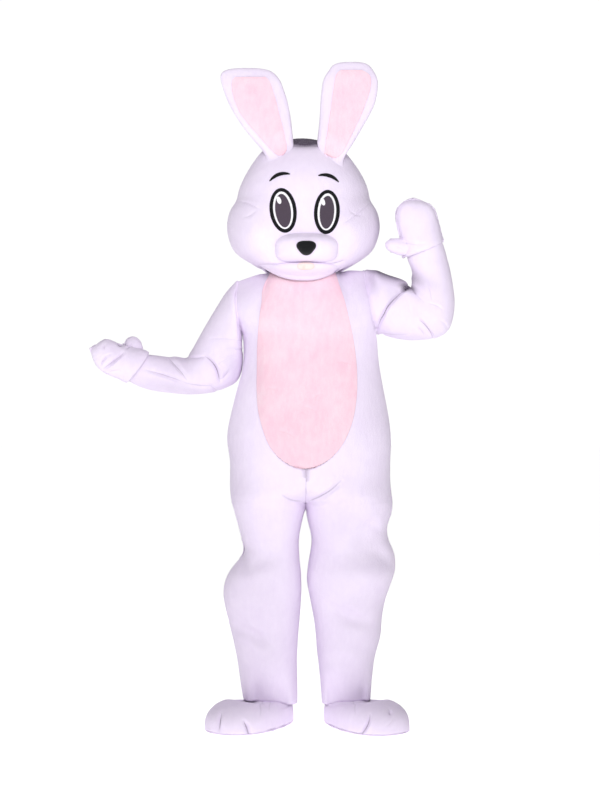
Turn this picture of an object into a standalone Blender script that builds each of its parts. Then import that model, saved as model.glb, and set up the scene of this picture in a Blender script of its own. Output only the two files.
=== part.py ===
"""Rabbit mascot costume, in the hollow form it keeps while it is worn.

Metres, +Z up, the front towards -Y and the wearer's left towards +X. The tables give heights above
the floor. Every piece is then lowered by HOLD_HEIGHT, so that the origin is where the wearer's
shoulders hold the suit.
"""

import math
from collections import namedtuple

import bmesh
import bpy
import numpy as np

# Driving sizes
HOLD_HEIGHT = 1.33  # the shoulders above the floor
CLOTH = 0.003  # plush on its knitted back
HEAD_WALL = 0.007  # plush on foam
SEAM = 0.0003  # between two pieces that are sewn together
LIFT = 0.0007  # under a piece that lies on a curved wall
ROUNDNESS = 2.3  # exponent of the oval sections, 2 for an ellipse
SHARP_ANGLE = 50.0  # edges past this stay sharp when a piece is shaded smooth
SEARCH_STEPS = 40  # halvings when a place on a surface is looked for

ARMPIT = 1.155
CROTCH = 0.655
HEM = 0.058
HEM_RISE = 0.026  # the hem over the instep, above the hem at the heel
HEM_FADE = 0.12
LEG_ROWS = 19
HIP_ROWS = (0.664, 0.678, 0.70, 0.74)
TORSO_ROWS = 9
YOKE_ROWS = 7  # from the armpit to the shoulder seam
PANEL_COLUMNS = 7  # from the side seam to the centre seam
NECK_AT = 3 / 7  # the share of the top edge that is shoulder seam

NECK_HALF_WIDTH = 0.092
NECK_TOP = 1.358
NECK_DEPTH = {"front": 0.088, "back": 0.075}
NECK_CENTRE_HEIGHT = {"front": 1.346, "back": 1.345}
ARMHOLE_SEAM = 0.0011
ARMHOLE_REACH = 0.075  # the armhole's bow to the front and the back
ARMHOLE_BOW = 0.8  # below 1 the bow is fullest low down
CHEST_ROUND = 2.4  # how late the chest and the upper back turn in to the neck
LEG_AXIS = 0.1  # of each half, from the centre plane
FACING = {"front": -1.0, "back": 1.0}
SIDE = {"left": 1.0, "right": -1.0}

# Front and back depth of the body about y = middle. overlap is how far a half would reach past the
# centre plane, as a share of its outer half width: 1 in the torso, 0 at the crotch.
Depth = namedtuple("Depth", "height front back middle overlap")
DEPTHS = [
    Depth(0.056, 0.082, 0.088, 0.006, 0),
    Depth(0.18, 0.092, 0.104, 0.008, 0),
    Depth(0.29, 0.102, 0.118, 0.008, 0),
    Depth(0.398, 0.116, 0.118, 0.004, 0),
    Depth(0.452, 0.122, 0.112, 0.000, 0),
    Depth(0.518, 0.110, 0.112, 0.000, 0),
    Depth(0.60, 0.126, 0.136, 0.004, 0),
    Depth(CROTCH, 0.138, 0.150, 0.006, 0),
    Depth(0.664, 0.141, 0.152, 0.006, 0.05),
    Depth(0.678, 0.147, 0.155, 0.006, 0.17),
    Depth(0.70, 0.155, 0.158, 0.006, 0.45),
    Depth(0.74, 0.165, 0.158, 0.005, 1),
    Depth(0.80, 0.173, 0.148, 0.002, 1),
    Depth(0.87, 0.172, 0.134, 0.000, 1),
    Depth(0.96, 0.160, 0.124, 0.000, 1),
    Depth(1.06, 0.144, 0.120, 0.000, 1),
    Depth(ARMPIT, 0.130, 0.118, 0.000, 1),
]

# Outer edge of each half as seen from the front: the waist, the hips and the knees' loose folds
Edge = namedtuple("Edge", "height reach")
OUTER = {
    "right": [
        Edge(0.056, 0.186), Edge(0.128, 0.196), Edge(0.236, 0.215), Edge(0.29, 0.227),
        Edge(0.344, 0.240), Edge(0.398, 0.246), Edge(0.452, 0.230), Edge(0.488, 0.207),
        Edge(0.518, 0.190), Edge(0.542, 0.193), Edge(0.614, 0.209), Edge(0.65, 0.221),
        Edge(0.74, 0.227), Edge(0.794, 0.227), Edge(0.851, 0.233), Edge(0.965, 0.215),
        Edge(1.055, 0.189), Edge(1.115, 0.185), Edge(ARMPIT, 0.188),
    ],
    "left": [
        Edge(0.056, 0.197), Edge(0.146, 0.205), Edge(0.20, 0.211), Edge(0.254, 0.226),
        Edge(0.308, 0.231), Edge(0.362, 0.241), Edge(0.434, 0.262), Edge(0.47, 0.271),
        Edge(0.506, 0.265), Edge(0.542, 0.253), Edge(0.578, 0.246), Edge(0.614, 0.256),
        Edge(0.65, 0.262), Edge(0.74, 0.253), Edge(0.794, 0.252), Edge(0.851, 0.256),
        Edge(0.965, 0.238), Edge(1.055, 0.223), Edge(1.115, 0.218), Edge(ARMPIT, 0.217),
    ],
}
INSEAM = {
    "right": [
        Edge(0.056, 0.026), Edge(0.18, 0.026), Edge(0.29, 0.017), Edge(0.398, 0.011),
        Edge(0.452, 0.014), Edge(0.53, 0.020), Edge(0.614, 0.008), Edge(CROTCH, 0.0),
    ],
    "left": [
        Edge(0.056, 0.051), Edge(0.146, 0.043), Edge(0.20, 0.037), Edge(0.308, 0.022),
        Edge(0.398, 0.007), Edge(0.434, 0.002), Edge(0.47, 0.007), Edge(0.542, 0.018),
        Edge(0.614, 0.004), Edge(CROTCH, 0.0),
    ],
}

# The armhole as seen from the front, from the armpit to the shoulder point
Armhole = namedtuple("Armhole", "share reach")
ARMHOLES = {
    "right": [
        Armhole(0, 0.188), Armhole(0.15, 0.194), Armhole(0.5, 0.204), Armhole(0.8, 0.210),
        Armhole(1, 0.204),
    ],
    "left": [
        Armhole(0, 0.217), Armhole(0.2, 0.212), Armhole(0.5, 0.203), Armhole(0.8, 0.186),
        Armhole(1, 0.176),
    ],
}
SHOULDER_HEIGHT = {"right": 1.326, "left": 1.360}

# The largest folds of the suit: soft troughs (depth below 0) and ridges between two places on a
# panel, in x and height
Fold = namedtuple("Fold", "panel x1 z1 x2 z2 width depth")
FOLD_END = 0.45  # depth of a fold at its ends, as a share of its full depth
FOLDS = [
    Fold("suit_front_left", 0.025, 0.668, 0.105, 0.728, 0.022, -0.009),
    Fold("suit_front_left", 0.165, 0.605, 0.215, 0.50, 0.030, -0.014),
    Fold("suit_front_left", 0.105, 0.345, 0.175, 0.320, 0.026, -0.010),
    Fold("suit_front_left", 0.150, 0.455, 0.230, 0.430, 0.034, 0.010),
    Fold("suit_front_right", -0.025, 0.660, -0.100, 0.700, 0.022, -0.006),
    Fold("suit_front_right", -0.19, 0.515, -0.105, 0.475, 0.026, -0.011),
    Fold("suit_front_right", -0.205, 0.290, -0.115, 0.235, 0.026, -0.010),
    Fold("suit_front_right", -0.20, 0.385, -0.11, 0.360, 0.036, 0.010),
    Fold("suit_back_left", 0.03, 0.645, 0.19, 0.615, 0.026, -0.012),
    Fold("suit_back_left", 0.05, 0.455, 0.21, 0.470, 0.028, -0.013),
    Fold("suit_back_left", 0.09, 0.330, 0.20, 0.300, 0.028, -0.009),
    Fold("suit_back_left", 0.05, 0.98, 0.20, 0.955, 0.030, -0.008),
    Fold("suit_back_right", -0.03, 0.635, -0.17, 0.625, 0.026, -0.012),
    Fold("suit_back_right", -0.05, 0.470, -0.18, 0.485, 0.028, -0.014),
    Fold("suit_back_right", -0.08, 0.270, -0.19, 0.300, 0.028, -0.009),
    Fold("suit_back_right", -0.05, 0.93, -0.19, 0.965, 0.030, -0.008),
]

# Sections of each sleeve: its upper edge (x1, z1), its lower edge (x2, z2), and its middle and half
# depth in y. The upper edge turns inside the elbow, the lower edge outside it.
Section = namedtuple("Section", "x1 z1 x2 z2 y half_depth")
SLEEVES = {
    "right": [
        Section(-0.228, 1.302, -0.193, 1.124, 0.000, 0.082),
        Section(-0.252, 1.268, -0.1905, 1.090, 0.003, 0.078),
        Section(-0.279, 1.226, -0.1915, 1.062, 0.008, 0.073),
        Section(-0.303, 1.187, -0.197, 1.038, 0.012, 0.070),
        Section(-0.327, 1.145, -0.211, 1.017, 0.015, 0.070),
        Section(-0.345, 1.111, -0.236, 1.003, 0.016, 0.070),
        Section(-0.353, 1.096, -0.270, 0.990, 0.014, 0.068),
        Section(-0.364, 1.091, -0.313, 0.982, 0.009, 0.064),
        Section(-0.386, 1.094, -0.358, 0.980, 0.000, 0.060),
        Section(-0.415, 1.096, -0.408, 0.985, -0.012, 0.056),
        Section(-0.443, 1.101, -0.461, 0.993, -0.024, 0.052),
        Section(-0.470, 1.104, -0.506, 1.009, -0.034, 0.047),
        Section(-0.491, 1.106, -0.536, 1.027, -0.041, 0.043),
        Section(-0.509, 1.107, -0.552, 1.045, -0.046, 0.040),
    ],
    "left": [
        Section(0.203, 1.358, 0.230, 1.158, 0.000, 0.083),
        Section(0.226, 1.350, 0.241, 1.152, -0.002, 0.084),
        Section(0.256, 1.338, 0.272, 1.145, -0.006, 0.080),
        Section(0.284, 1.328, 0.310, 1.142, -0.012, 0.076),
        Section(0.299, 1.317, 0.349, 1.145, -0.019, 0.073),
        Section(0.307, 1.304, 0.385, 1.150, -0.026, 0.071),
        Section(0.310, 1.2935, 0.415, 1.163, -0.031, 0.069),
        Section(0.3115, 1.2880, 0.433, 1.187, -0.034, 0.066),
        Section(0.3125, 1.2900, 0.442, 1.223, -0.037, 0.064),
        Section(0.3145, 1.3000, 0.4435, 1.262, -0.040, 0.061),
        Section(0.316, 1.322, 0.436, 1.304, -0.045, 0.058),
        Section(0.3165, 1.347, 0.427, 1.347, -0.050, 0.054),
        Section(0.305, 1.372, 0.417, 1.387, -0.056, 0.050),
        Section(0.298, 1.394, 0.407, 1.424, -0.061, 0.046),
        Section(0.294, 1.412, 0.396, 1.446, -0.064, 0.043),
        Section(0.293, 1.430, 0.386, 1.464, -0.067, 0.040),
    ],
}

# Sections of each mitt, from the cuff to the fingertips, and of its thumb. One edge (x1, y1, z1) is
# on the thumb's side and the other (x2, y2, z2) is across the hand.
Hand = namedtuple("Hand", "x1 y1 z1 x2 y2 z2 half_thickness")
HANDS = {
    "left": [
        Hand(0.2878, -0.062, 1.3876, 0.4085, -0.062, 1.4348, 0.056),
        Hand(0.2844, -0.066, 1.417, 0.4015, -0.066, 1.4555, 0.053),
        Hand(0.280, -0.070, 1.4467, 0.3952, -0.070, 1.479, 0.047),
        Hand(0.271, -0.075, 1.479, 0.3878, -0.075, 1.503, 0.042),
        Hand(0.2652, -0.080, 1.5087, 0.3804, -0.080, 1.525, 0.036),
        Hand(0.271, -0.084, 1.531, 0.3672, -0.084, 1.540, 0.028),
        Hand(0.2859, -0.087, 1.547, 0.3464, -0.087, 1.550, 0.017),
    ],
    "right": [
        Hand(-0.4684, -0.022, 1.1110, -0.5338, -0.052, 1.0125, 0.056),
        Hand(-0.4952, -0.027, 1.1190, -0.5516, -0.060, 1.0260, 0.053),
        Hand(-0.522, -0.034, 1.124, -0.571, -0.070, 1.034, 0.046),
        Hand(-0.547, -0.042, 1.1307, -0.590, -0.080, 1.0434, 0.041),
        Hand(-0.5724, -0.052, 1.1396, -0.6066, -0.088, 1.0556, 0.035),
        Hand(-0.5947, -0.062, 1.146, -0.620, -0.094, 1.0749, 0.028),
        Hand(-0.614, -0.074, 1.133, -0.6294, -0.094, 1.0957, 0.016),
    ],
}
HAND_COLUMNS = 14
THUMB_COLUMNS = 10
CUFF_CUT = 0.02  # how far the hollow is run out past the cuff
HAND_BLOCK = 0.4  # half size of the block that halves a mitt
HAND_TIPS = {"left": (0.3154, -0.088, 1.5575), "right": (-0.635, -0.086, 1.1165)}
THUMBS = {
    "left": [
        Hand(0.314, -0.074, 1.445, 0.314, -0.068, 1.3905, 0.024),
        Hand(0.2815, -0.078, 1.442, 0.2815, -0.072, 1.3905, 0.024),
        Hand(0.255, -0.082, 1.442, 0.255, -0.076, 1.400, 0.021),
        Hand(0.2416, -0.084, 1.436, 0.2416, -0.079, 1.408, 0.015),
    ],
    "right": [
        Hand(-0.542, -0.046, 1.088, -0.490, -0.032, 1.082, 0.022),
        Hand(-0.5406, -0.034, 1.129, -0.485, -0.022, 1.120, 0.022),
        Hand(-0.5376, -0.026, 1.143, -0.4923, -0.018, 1.1384, 0.019),
        Hand(-0.530, -0.022, 1.150, -0.504, -0.016, 1.149, 0.012),
    ],
}
THUMB_TIPS = {"left": (0.2336, -0.082, 1.423), "right": (-0.5176, -0.018, 1.1545)}

# Belly panel: its two edges, as x at each height
Belly = namedtuple("Belly", "height x1 x2")
BELLY = [
    Belly(0.766, -0.006, 0.004), Belly(0.772, -0.036, 0.030), Belly(0.785, -0.062, 0.056),
    Belly(0.812, -0.092, 0.088), Belly(0.850, -0.114, 0.114), Belly(0.895, -0.129, 0.133),
    Belly(0.94, -0.139, 0.143), Belly(1.00, -0.143, 0.148), Belly(1.07, -0.143, 0.147),
    Belly(1.14, -0.140, 0.139), Belly(1.20, -0.136, 0.126), Belly(1.255, -0.129, 0.112),
    Belly(1.300, -0.121, 0.096), Belly(1.345, -0.104, 0.084),
]
BELLY_CLOTH = 0.0025
BELLY_LIFT = 0.0014
BELLY_COLUMNS = 12
BELLY_ROUND = 0.86  # the panel's rounded bottom is below this

# Centre-back zip
ZIP_TOP = 1.356
ZIP_BOTTOM = 0.82
ZIP_OPENING = 0.0036  # from the centre plane to each panel's edge
CHAIN_HALF_WIDTH = 0.0028
CHAIN_THICK = 0.0022
TAPE_HALF_WIDTH = 0.010
TAPE_THICK = 0.0012
TAPE_GAP = 0.0008
SLIDER_DEPTH = 0.0042
SLIDER_LENGTH = 0.015
SLIDER_LUG = (0.0017, 0.0028)  # width and height of the two lugs beside the pull's eye
PULL = (0.0076, 0.0014, 0.034)
PULL_EYE = 0.0009  # from the pull's top to its pivot
PULL_GAP = 0.0006
BEVEL_SHARE = 0.3  # of a small block's least size

# Head: half width of the face side and of the back, and depth to the front and the back
Head = namedtuple("Head", "height cheek temple front back")
HEADS = [
    Head(1.336, 0.118, 0.118, 0.140, 0.118), Head(1.355, 0.150, 0.145, 0.163, 0.138),
    Head(1.385, 0.189, 0.172, 0.180, 0.160), Head(1.415, 0.211, 0.190, 0.188, 0.178),
    Head(1.445, 0.223, 0.200, 0.191, 0.190), Head(1.475, 0.2295, 0.206, 0.192, 0.198),
    Head(1.505, 0.228, 0.208, 0.190, 0.203), Head(1.535, 0.219, 0.207, 0.187, 0.204),
    Head(1.562, 0.201, 0.204, 0.184, 0.203), Head(1.595, 0.194, 0.197, 0.178, 0.196),
    Head(1.635, 0.1765, 0.180, 0.165, 0.180), Head(1.668, 0.157, 0.158, 0.147, 0.160),
    Head(1.70, 0.1335, 0.1335, 0.124, 0.134), Head(1.725, 0.098, 0.098, 0.091, 0.099),
    Head(1.7495, 0.0, 0.0, 0.0, 0.0),
]
HEAD_MIDDLE = (-0.007, 0.012)
RIM_WAVE = 0.023  # the neck rim is higher at the sides than at the chin and the nape
RIM_FADE = 1.42  # above this the sections are level
FACE_SEAM = 17.0  # degrees behind the side, where the face meets the back
HEAD_COLUMNS = {"face": 20, "back": 8}
CHEEK_BLEND = 0.6  # how far behind the side the cheek's width fades to the back's
FACE_SIDE = 0.985  # the widest place on the face, as a share of its half width
RIM_STEPS = 12  # steps to the section through a place near the wavy rim, and the share of each
RIM_STEP = 0.7
CROWN_HEIGHTS = (1.712, 1.732, 1.7445)
# Soft bulges of the face, pushed forward: the cheeks
Bulge = namedtuple("Bulge", "x z half_width half_height out")
BULGES = [Bulge(-0.155, 1.440, 0.062, 0.062, 0.022), Bulge(0.147, 1.440, 0.062, 0.062, 0.022)]

# Pieces on the face: middle and half sizes as seen from the front, tilt in degrees
Oval = namedtuple("Oval", "x z half_width half_height tilt")
MUZZLE = Oval(0.002, 1.4070, 0.091, 0.0415, 0)
MUZZLE_OUT = 0.040
MUZZLE_ROUNDNESS = 2.6
JAW = Oval(-0.004, 1.3455, 0.081, 0.0190, 0)
JAW_OUT = 0.018
JAW_LIFT = 0.0042
TOOTH = Oval(-0.005, 1.3515, 0.022, 0.0105, 0)
TOOTH_OUT = 0.003
NOSE = Oval(0.001, 1.4035, 0.0275, 0.0205, 0)
NOSE_OUT = 0.016
EYES = {"left": Oval(0.061, 1.510, 0.0375, 0.065, -4), "right": Oval(-0.066, 1.5145, 0.039, 0.066, 8)}
EYE_RIM = 0.0105
EYE_WHITE = 0.006
GLINT = Oval(-0.012, 0.029, 0.0062, 0.0115, 20)  # from the eye's middle
BROWS = {
    "left": Oval(0.0686, 1.618, 0.032, 0.0055, -16),
    "right": Oval(-0.079, 1.6215, 0.032, 0.0055, 18),
}
BROW_BOW = 0.010
BROW_OUT = 0.003
EYE_SHEET = 0.0012
PUPIL_DROP = 0.0015
PAD_EDGE = 0.0015  # thickness of a domed pad at its outline
DOME_RISE = 2.6  # how suddenly a pad rises from its outline, and how flat its middle is
DOME_FLAT = 2.2
NOSE_CORNERS = 0.10  # how far the nose is from an oval to a triangle

# Ears: left and right edges as seen from the front, by height, and half thickness
Ear = namedtuple("Ear", "height x1 x2 half_thick")
EARS = {
    "right": [
        Ear(1.683, -0.1175, -0.0406, 0.022), Ear(1.704, -0.132, -0.0347, 0.022),
        Ear(1.736, -0.160, -0.0377, 0.021), Ear(1.7805, -0.194, -0.042, 0.020),
        Ear(1.837, -0.227, -0.051, 0.019), Ear(1.875, -0.2415, -0.063, 0.018),
        Ear(1.905, -0.2505, -0.073, 0.017), Ear(1.9255, -0.252, -0.088, 0.014),
        Ear(1.940, -0.2386, -0.1086, 0.010),
    ],
    "left": [
        Ear(1.683, 0.051, 0.116, 0.022), Ear(1.704, 0.0347, 0.1307, 0.022),
        Ear(1.745, 0.036, 0.1544, 0.021), Ear(1.7925, 0.0406, 0.181, 0.020),
        Ear(1.831, 0.042, 0.2017, 0.019), Ear(1.866, 0.045, 0.2105, 0.019),
        Ear(1.896, 0.048, 0.2135, 0.018), Ear(1.9195, 0.0554, 0.2105, 0.017),
        Ear(1.940, 0.0687, 0.1987, 0.014), Ear(1.958, 0.0835, 0.184, 0.010),
    ],
}
EAR_Y = -0.100
EAR_LEAN = 0.10  # backwards, for each metre of height
EAR_BASE = 1.683
EAR_ROUNDNESS = 2.6
EAR_GAP = 0.0012
EAR_COLUMNS = 18
EAR_CREST = 0.7  # the tip above the last row, for each half thickness there
LINING_COLUMNS = 7
# Pink linings: edges by height
Lining = namedtuple("Lining", "height x1 x2")
LININGS = {
    "right": [
        Lining(1.686, -0.082, -0.070), Lining(1.7025, -0.1055, -0.0568), Lining(1.747, -0.144, -0.064),
        Lining(1.776, -0.169, -0.071), Lining(1.806, -0.191, -0.079), Lining(1.838, -0.206, -0.086),
        Lining(1.868, -0.2147, -0.095), Lining(1.891, -0.2176, -0.1026), Lining(1.906, -0.2155, -0.109),
        Lining(1.915, -0.208, -0.119),
    ],
    "left": [
        Lining(1.680, 0.080, 0.093), Lining(1.690, 0.0568, 0.108), Lining(1.726, 0.0612, 0.126),
        Lining(1.7645, 0.0656, 0.1444), Lining(1.803, 0.0715, 0.163), Lining(1.835, 0.076, 0.1748),
        Lining(1.868, 0.0804, 0.1866), Lining(1.909, 0.0863, 0.1925), Lining(1.927, 0.092, 0.1817),
        Lining(1.936, 0.104, 0.166),
    ],
}
LINING_CLOTH = 0.0025
LINING_LIFT = 0.0012

# Feet: middle of the ankle, turn outwards, and the shape of the sole
Foot = namedtuple("Foot", "x y turn")
FEET = {"left": Foot(0.124, 0.006, 32), "right": Foot(-0.106, 0.006, 36)}
FOOT_HALF_LENGTH = 0.166
FOOT_HALF_WIDTH = 0.094
FOOT_TOE_FLARE = 0.018
ANKLE_BACK = 0.088  # from the sole's middle back to the ankle's
ANKLE_RADIUS = 0.058
ANKLE_TOP = 0.125
SOLE_THICK = 0.005
TOE_HEIGHT = 0.080
HEEL_HEIGHT = 0.050
INSTEP_HEIGHT = 0.060
FOOT_COLUMNS = 20
FOOT_SHARES = (0.0, 0.12, 0.25, 0.38, 0.5, 0.62, 0.8, 1.0, 1.12)  # from the sole's edge to the cuff
FOOT_TOP = 0.62  # the share at which the foot is highest, 1 being the ankle
DOME_SHARE = 0.5  # how far inwards that is
FOOT_BULGE = 0.03
FOOT_RISE = 0.85  # below 1 the sides rise more steeply
TOE_BROAD = 0.7  # below 1 the high toe is broader


def column(rows, name):
    """One column of a table, as an array."""
    return np.array([getattr(row, name) for row in rows], float)


def read(rows, name, at, key="height"):
    """A table's column at any place in between, on a smooth curve through its rows."""
    places, values = column(rows, key), column(rows, name)
    steps = np.diff(values) / np.diff(places)
    slopes = np.concatenate([[steps[0]], (steps[1:] + steps[:-1]) / 2, [steps[-1]]])
    flat = np.concatenate([[False], steps[1:] * steps[:-1] <= 0, [False]])
    slopes[flat] = 0
    at = np.clip(at, places[0], places[-1])
    i = np.clip(np.searchsorted(places, at) - 1, 0, len(places) - 2)
    gap = places[i + 1] - places[i]
    t = (at - places[i]) / gap
    ahead = values[i] * (1 + 2 * t) * (1 - t) ** 2 + slopes[i] * gap * t * (1 - t) ** 2
    return ahead + values[i + 1] * t * t * (3 - 2 * t) + slopes[i + 1] * gap * t * t * (t - 1)


def unit(vectors):
    """Vectors at length 1."""
    return vectors / np.maximum(np.linalg.norm(vectors, axis=-1, keepdims=True), 1e-12)


def grid_normals(points, wraps=False):
    """Normals of a grid of points (rows, columns, 3), away from each row's middle."""
    down = np.gradient(points, axis=0)
    if wraps:
        across = np.roll(points, -1, axis=1) - np.roll(points, 1, axis=1)
    else:
        across = np.gradient(points, axis=1)
    normals = unit(np.cross(down, across))
    outward = points - points.mean(axis=1, keepdims=True)
    return normals * np.sign(np.sum(normals * outward))


def material(name, colour, roughness, sheen=0.0):
    """A Principled material."""
    made = bpy.data.materials.new(name)
    made.use_nodes = True
    shader = made.node_tree.nodes["Principled BSDF"]
    shader.inputs["Base Color"].default_value = (*colour, 1)
    shader.inputs["Roughness"].default_value = roughness
    shader.inputs["Metallic"].default_value = 0
    shader.inputs["Sheen Weight"].default_value = sheen
    return made


def add_piece(name, points, faces, finish):
    """A named object from floor-based points, with its faces turned outwards."""
    mesh = bpy.data.meshes.new(name)
    lowered = np.array(points, float) - (0, 0, HOLD_HEIGHT)
    mesh.from_pydata(lowered.tolist(), [], [list(face) for face in faces])
    work = bmesh.new()
    work.from_mesh(mesh)
    bmesh.ops.recalc_face_normals(work, faces=work.faces)
    work.to_mesh(mesh)
    work.free()
    mesh.shade_smooth()
    mesh.set_sharp_from_angle(angle=math.radians(SHARP_ANGLE))
    mesh.materials.append(finish)
    piece = bpy.data.objects.new(name, mesh)
    bpy.context.collection.objects.link(piece)
    return piece


def strip_faces(rows, columns, wraps, start=0):
    """Faces of a grid whose points are numbered row by row from start."""
    faces = []
    for r in range(rows - 1):
        for c in range(columns if wraps else columns - 1):
            d = (c + 1) % columns
            a, b = start + r * columns, start + (r + 1) * columns
            faces.append((a + c, a + d, b + d, b + c))
    return faces


def wall(name, outer, inner, finish, wraps=False, tip=None):
    """A closed wall between two grids. tip closes the last row with an outer and an inner point."""
    rows, columns = outer.shape[:2]
    count = rows * columns
    points = np.concatenate([outer.reshape(-1, 3), inner.reshape(-1, 3)]).tolist()
    faces = strip_faces(rows, columns, wraps) + strip_faces(rows, columns, wraps, count)
    last = (rows - 1) * columns
    steps = range(columns if wraps else columns - 1)
    for c in steps:
        d = (c + 1) % columns
        faces.append((c, d, count + d, count + c))
        if tip is None:
            faces.append((last + c, last + d, count + last + d, count + last + c))
    if tip is not None:
        points += [list(tip[0]), list(tip[1])]
        for c in steps:
            d = (c + 1) % columns
            faces.append((last + c, last + d, 2 * count))
            faces.append((count + last + c, count + last + d, 2 * count + 1))
    if not wraps:
        for c in (0, columns - 1):
            for r in range(rows - 1):
                a, b = r * columns + c, (r + 1) * columns + c
                faces.append((a, b, count + b, count + a))
    return add_piece(name, points, faces, finish)


def solid_rings(name, rings, finish, first, last):
    """A closed solid through rings, each end closed with a fan to a point."""
    rows, columns = rings.shape[:2]
    points = rings.reshape(-1, 3).tolist() + [list(first), list(last)]
    faces = strip_faces(rows, columns, True)
    end = (rows - 1) * columns
    for c in range(columns):
        d = (c + 1) % columns
        faces.append((c, d, rows * columns))
        faces.append((end + c, end + d, rows * columns + 1))
    return add_piece(name, points, faces, finish)


# Suit


def body_point(side, half, level, share):
    """A point of the suit's outer surface. level is the height, and above the armpit a nominal one.
    share runs from the side seam (0) to the centre seam or inseam (1)."""
    sign, facing = SIDE[side], FACING[half]
    low = min(level, ARMPIT)
    depth, middle = read(DEPTHS, half, low), read(DEPTHS, "middle", low)
    reach = read(OUTER[side], "reach", low)
    if low <= CROTCH:
        near = read(INSEAM[side], "reach", low)
    else:
        near = -reach * np.clip(read(DEPTHS, "overlap", low), 0, 1)
    centre, half_width = (reach + near) / 2, (reach - near) / 2
    angle = share * math.acos(max(-1.0, min(1.0, -max(centre, 0) / half_width if low > CROTCH else -1)))
    power = 2 / ROUNDNESS
    across = math.copysign(abs(math.cos(angle)) ** power, math.cos(angle))
    bow = abs(math.sin(angle)) ** power
    x, y, z = centre + half_width * across, middle + facing * depth * bow, low
    if low > CROTCH:
        x = max(x, 0.0)
    if level <= ARMPIT:
        turn = math.radians(FEET[side].turn)
        toeward = across * math.sin(turn) - facing * bow * math.cos(turn)
        rise = max(0.0, 1 - (level - HEM) / HEM_FADE) ** 2
        z += HEM_RISE * rise * max(0.0, toeward)
        return np.array([sign * x, y, z])
    t = (level - ARMPIT) / (NECK_TOP - ARMPIT)
    top = yoke_top(side, half, share)
    edge = read(ARMHOLES[side], "reach", t, key="share")
    x = (1 - t) * x * edge / reach + t * top[0]
    y = top[1] + (y - top[1]) * math.sqrt(1 - t**CHEST_ROUND)
    y += facing * ARMHOLE_REACH * (1 - bow) * math.sin(math.pi * t**ARMHOLE_BOW)
    z = ARMPIT + (top[2] - ARMPIT) * t
    return np.array([sign * x, y, z])


def yoke_top(side, half, share):
    """The panel's top edge: the shoulder seam, and then the neckline to the centre."""
    shoulder = read(ARMHOLES[side], "reach", 1, key="share")
    if share <= NECK_AT:
        f = share / NECK_AT
        x = shoulder + (NECK_HALF_WIDTH - shoulder) * f
        return np.array([x, 0, SHOULDER_HEIGHT[side] + (NECK_TOP - SHOULDER_HEIGHT[side]) * f])
    turn = (share - NECK_AT) / (1 - NECK_AT) * math.pi / 2
    drop = (NECK_TOP - NECK_CENTRE_HEIGHT[half]) * math.sin(turn) ** 2
    y = FACING[half] * NECK_DEPTH[half] * math.sin(turn)
    return np.array([NECK_HALF_WIDTH * math.cos(turn), y, NECK_TOP - drop])


def fold_height(panel, points, folds):
    """How far the folds push each point of a panel outwards."""
    out = np.zeros(points.shape[:-1])
    for fold in folds:
        if fold.panel != panel:
            continue
        start = np.array([fold.x1, fold.z1])
        run = np.array([fold.x2, fold.z2]) - start
        flat = points[..., [0, 2]] - start
        along = np.clip(flat @ run / (run @ run), 0, 1)
        away = np.linalg.norm(flat - along[..., None] * run, axis=-1)
        share = FOLD_END + (1 - FOLD_END) * np.sin(np.pi * along)
        out += fold.depth * share * np.exp(-((away / fold.width) ** 2))
    return out


def body_levels():
    """Heights of the suit's rows, from the hem to the shoulder seam."""
    legs = np.linspace(HEM, CROTCH, LEG_ROWS)
    torso = np.linspace(HIP_ROWS[-1], ARMPIT, TORSO_ROWS)
    yoke = np.linspace(ARMPIT, NECK_TOP, YOKE_ROWS)
    return np.concatenate([legs, HIP_ROWS[:-1], torso, yoke[1:]])


def half_grid(side, half, levels, columns):
    """Outer points and normals of one panel."""
    shares = np.linspace(0, 1, columns + 1)
    points = np.array([[body_point(side, half, level, s) for s in shares] for level in levels])
    normals = grid_normals(points)
    away = points - [SIDE[side] * LEG_AXIS, 0, 0]
    away[..., 2] = 0
    normals = normals * np.where(np.sum(normals * away) < 0, -1, 1)
    return points, normals


def suit_panels(levels, columns, folds):
    """Outer and inner grids of the four panels, with shared directions at their seams."""
    made = {}
    for side, sign in SIDE.items():
        grids = {half: half_grid(side, half, levels, columns) for half in FACING}
        shared = unit(grids["front"][1][:, 0] + grids["back"][1][:, 0])
        for half, (points, normals) in grids.items():
            seamed = levels <= ARMPIT
            normals[seamed, 0] = shared[seamed]
            torso = levels > CROTCH
            normals[torso, -1, 0] = 0
            normals[~torso, -1] = (-sign, 0, 0)
            shoulder = np.linspace(0, 1, columns + 1) <= NECK_AT + 1e-9
            normals[-1, shoulder, 1] = 0
            normals = unit(normals)
            name = f"suit_{half}_{side}"
            outer = points + normals * fold_height(name, points, folds)[..., None]
            inner = outer - normals * CLOTH
            made[name] = [part_seams(grid, side, half, levels, shoulder) for grid in (outer, inner)]
    return made


def part_seams(grid, side, half, levels, shoulder):
    """Moves a panel's sewn edges back from the seams by half a gap."""
    grid, facing, sign = grid.copy(), FACING[half], SIDE[side]
    seamed, torso = levels <= ARMPIT, levels > CROTCH
    grid[seamed, 0, 1] += facing * SEAM / 2
    centre = np.full(len(levels), SEAM / 2)
    if half == "back":
        centre[levels > ZIP_BOTTOM] = ZIP_OPENING
    grid[torso, -1, 0] = sign * centre[torso]
    grid[~torso, -1, 1] += facing * SEAM / 2
    grid[~torso, -1, 0] = sign * np.maximum(sign * grid[~torso, -1, 0], SEAM / 2)
    grid[-1, shoulder, 1] += facing * SEAM / 2
    return grid


def make_suit(finish):
    """The four panels. Returns their grids, which the sleeves and the zip are made from."""
    grids = suit_panels(body_levels(), PANEL_COLUMNS, FOLDS)
    for name, (outer, inner) in grids.items():
        wall(name, outer, inner, finish)
    return grids


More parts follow.
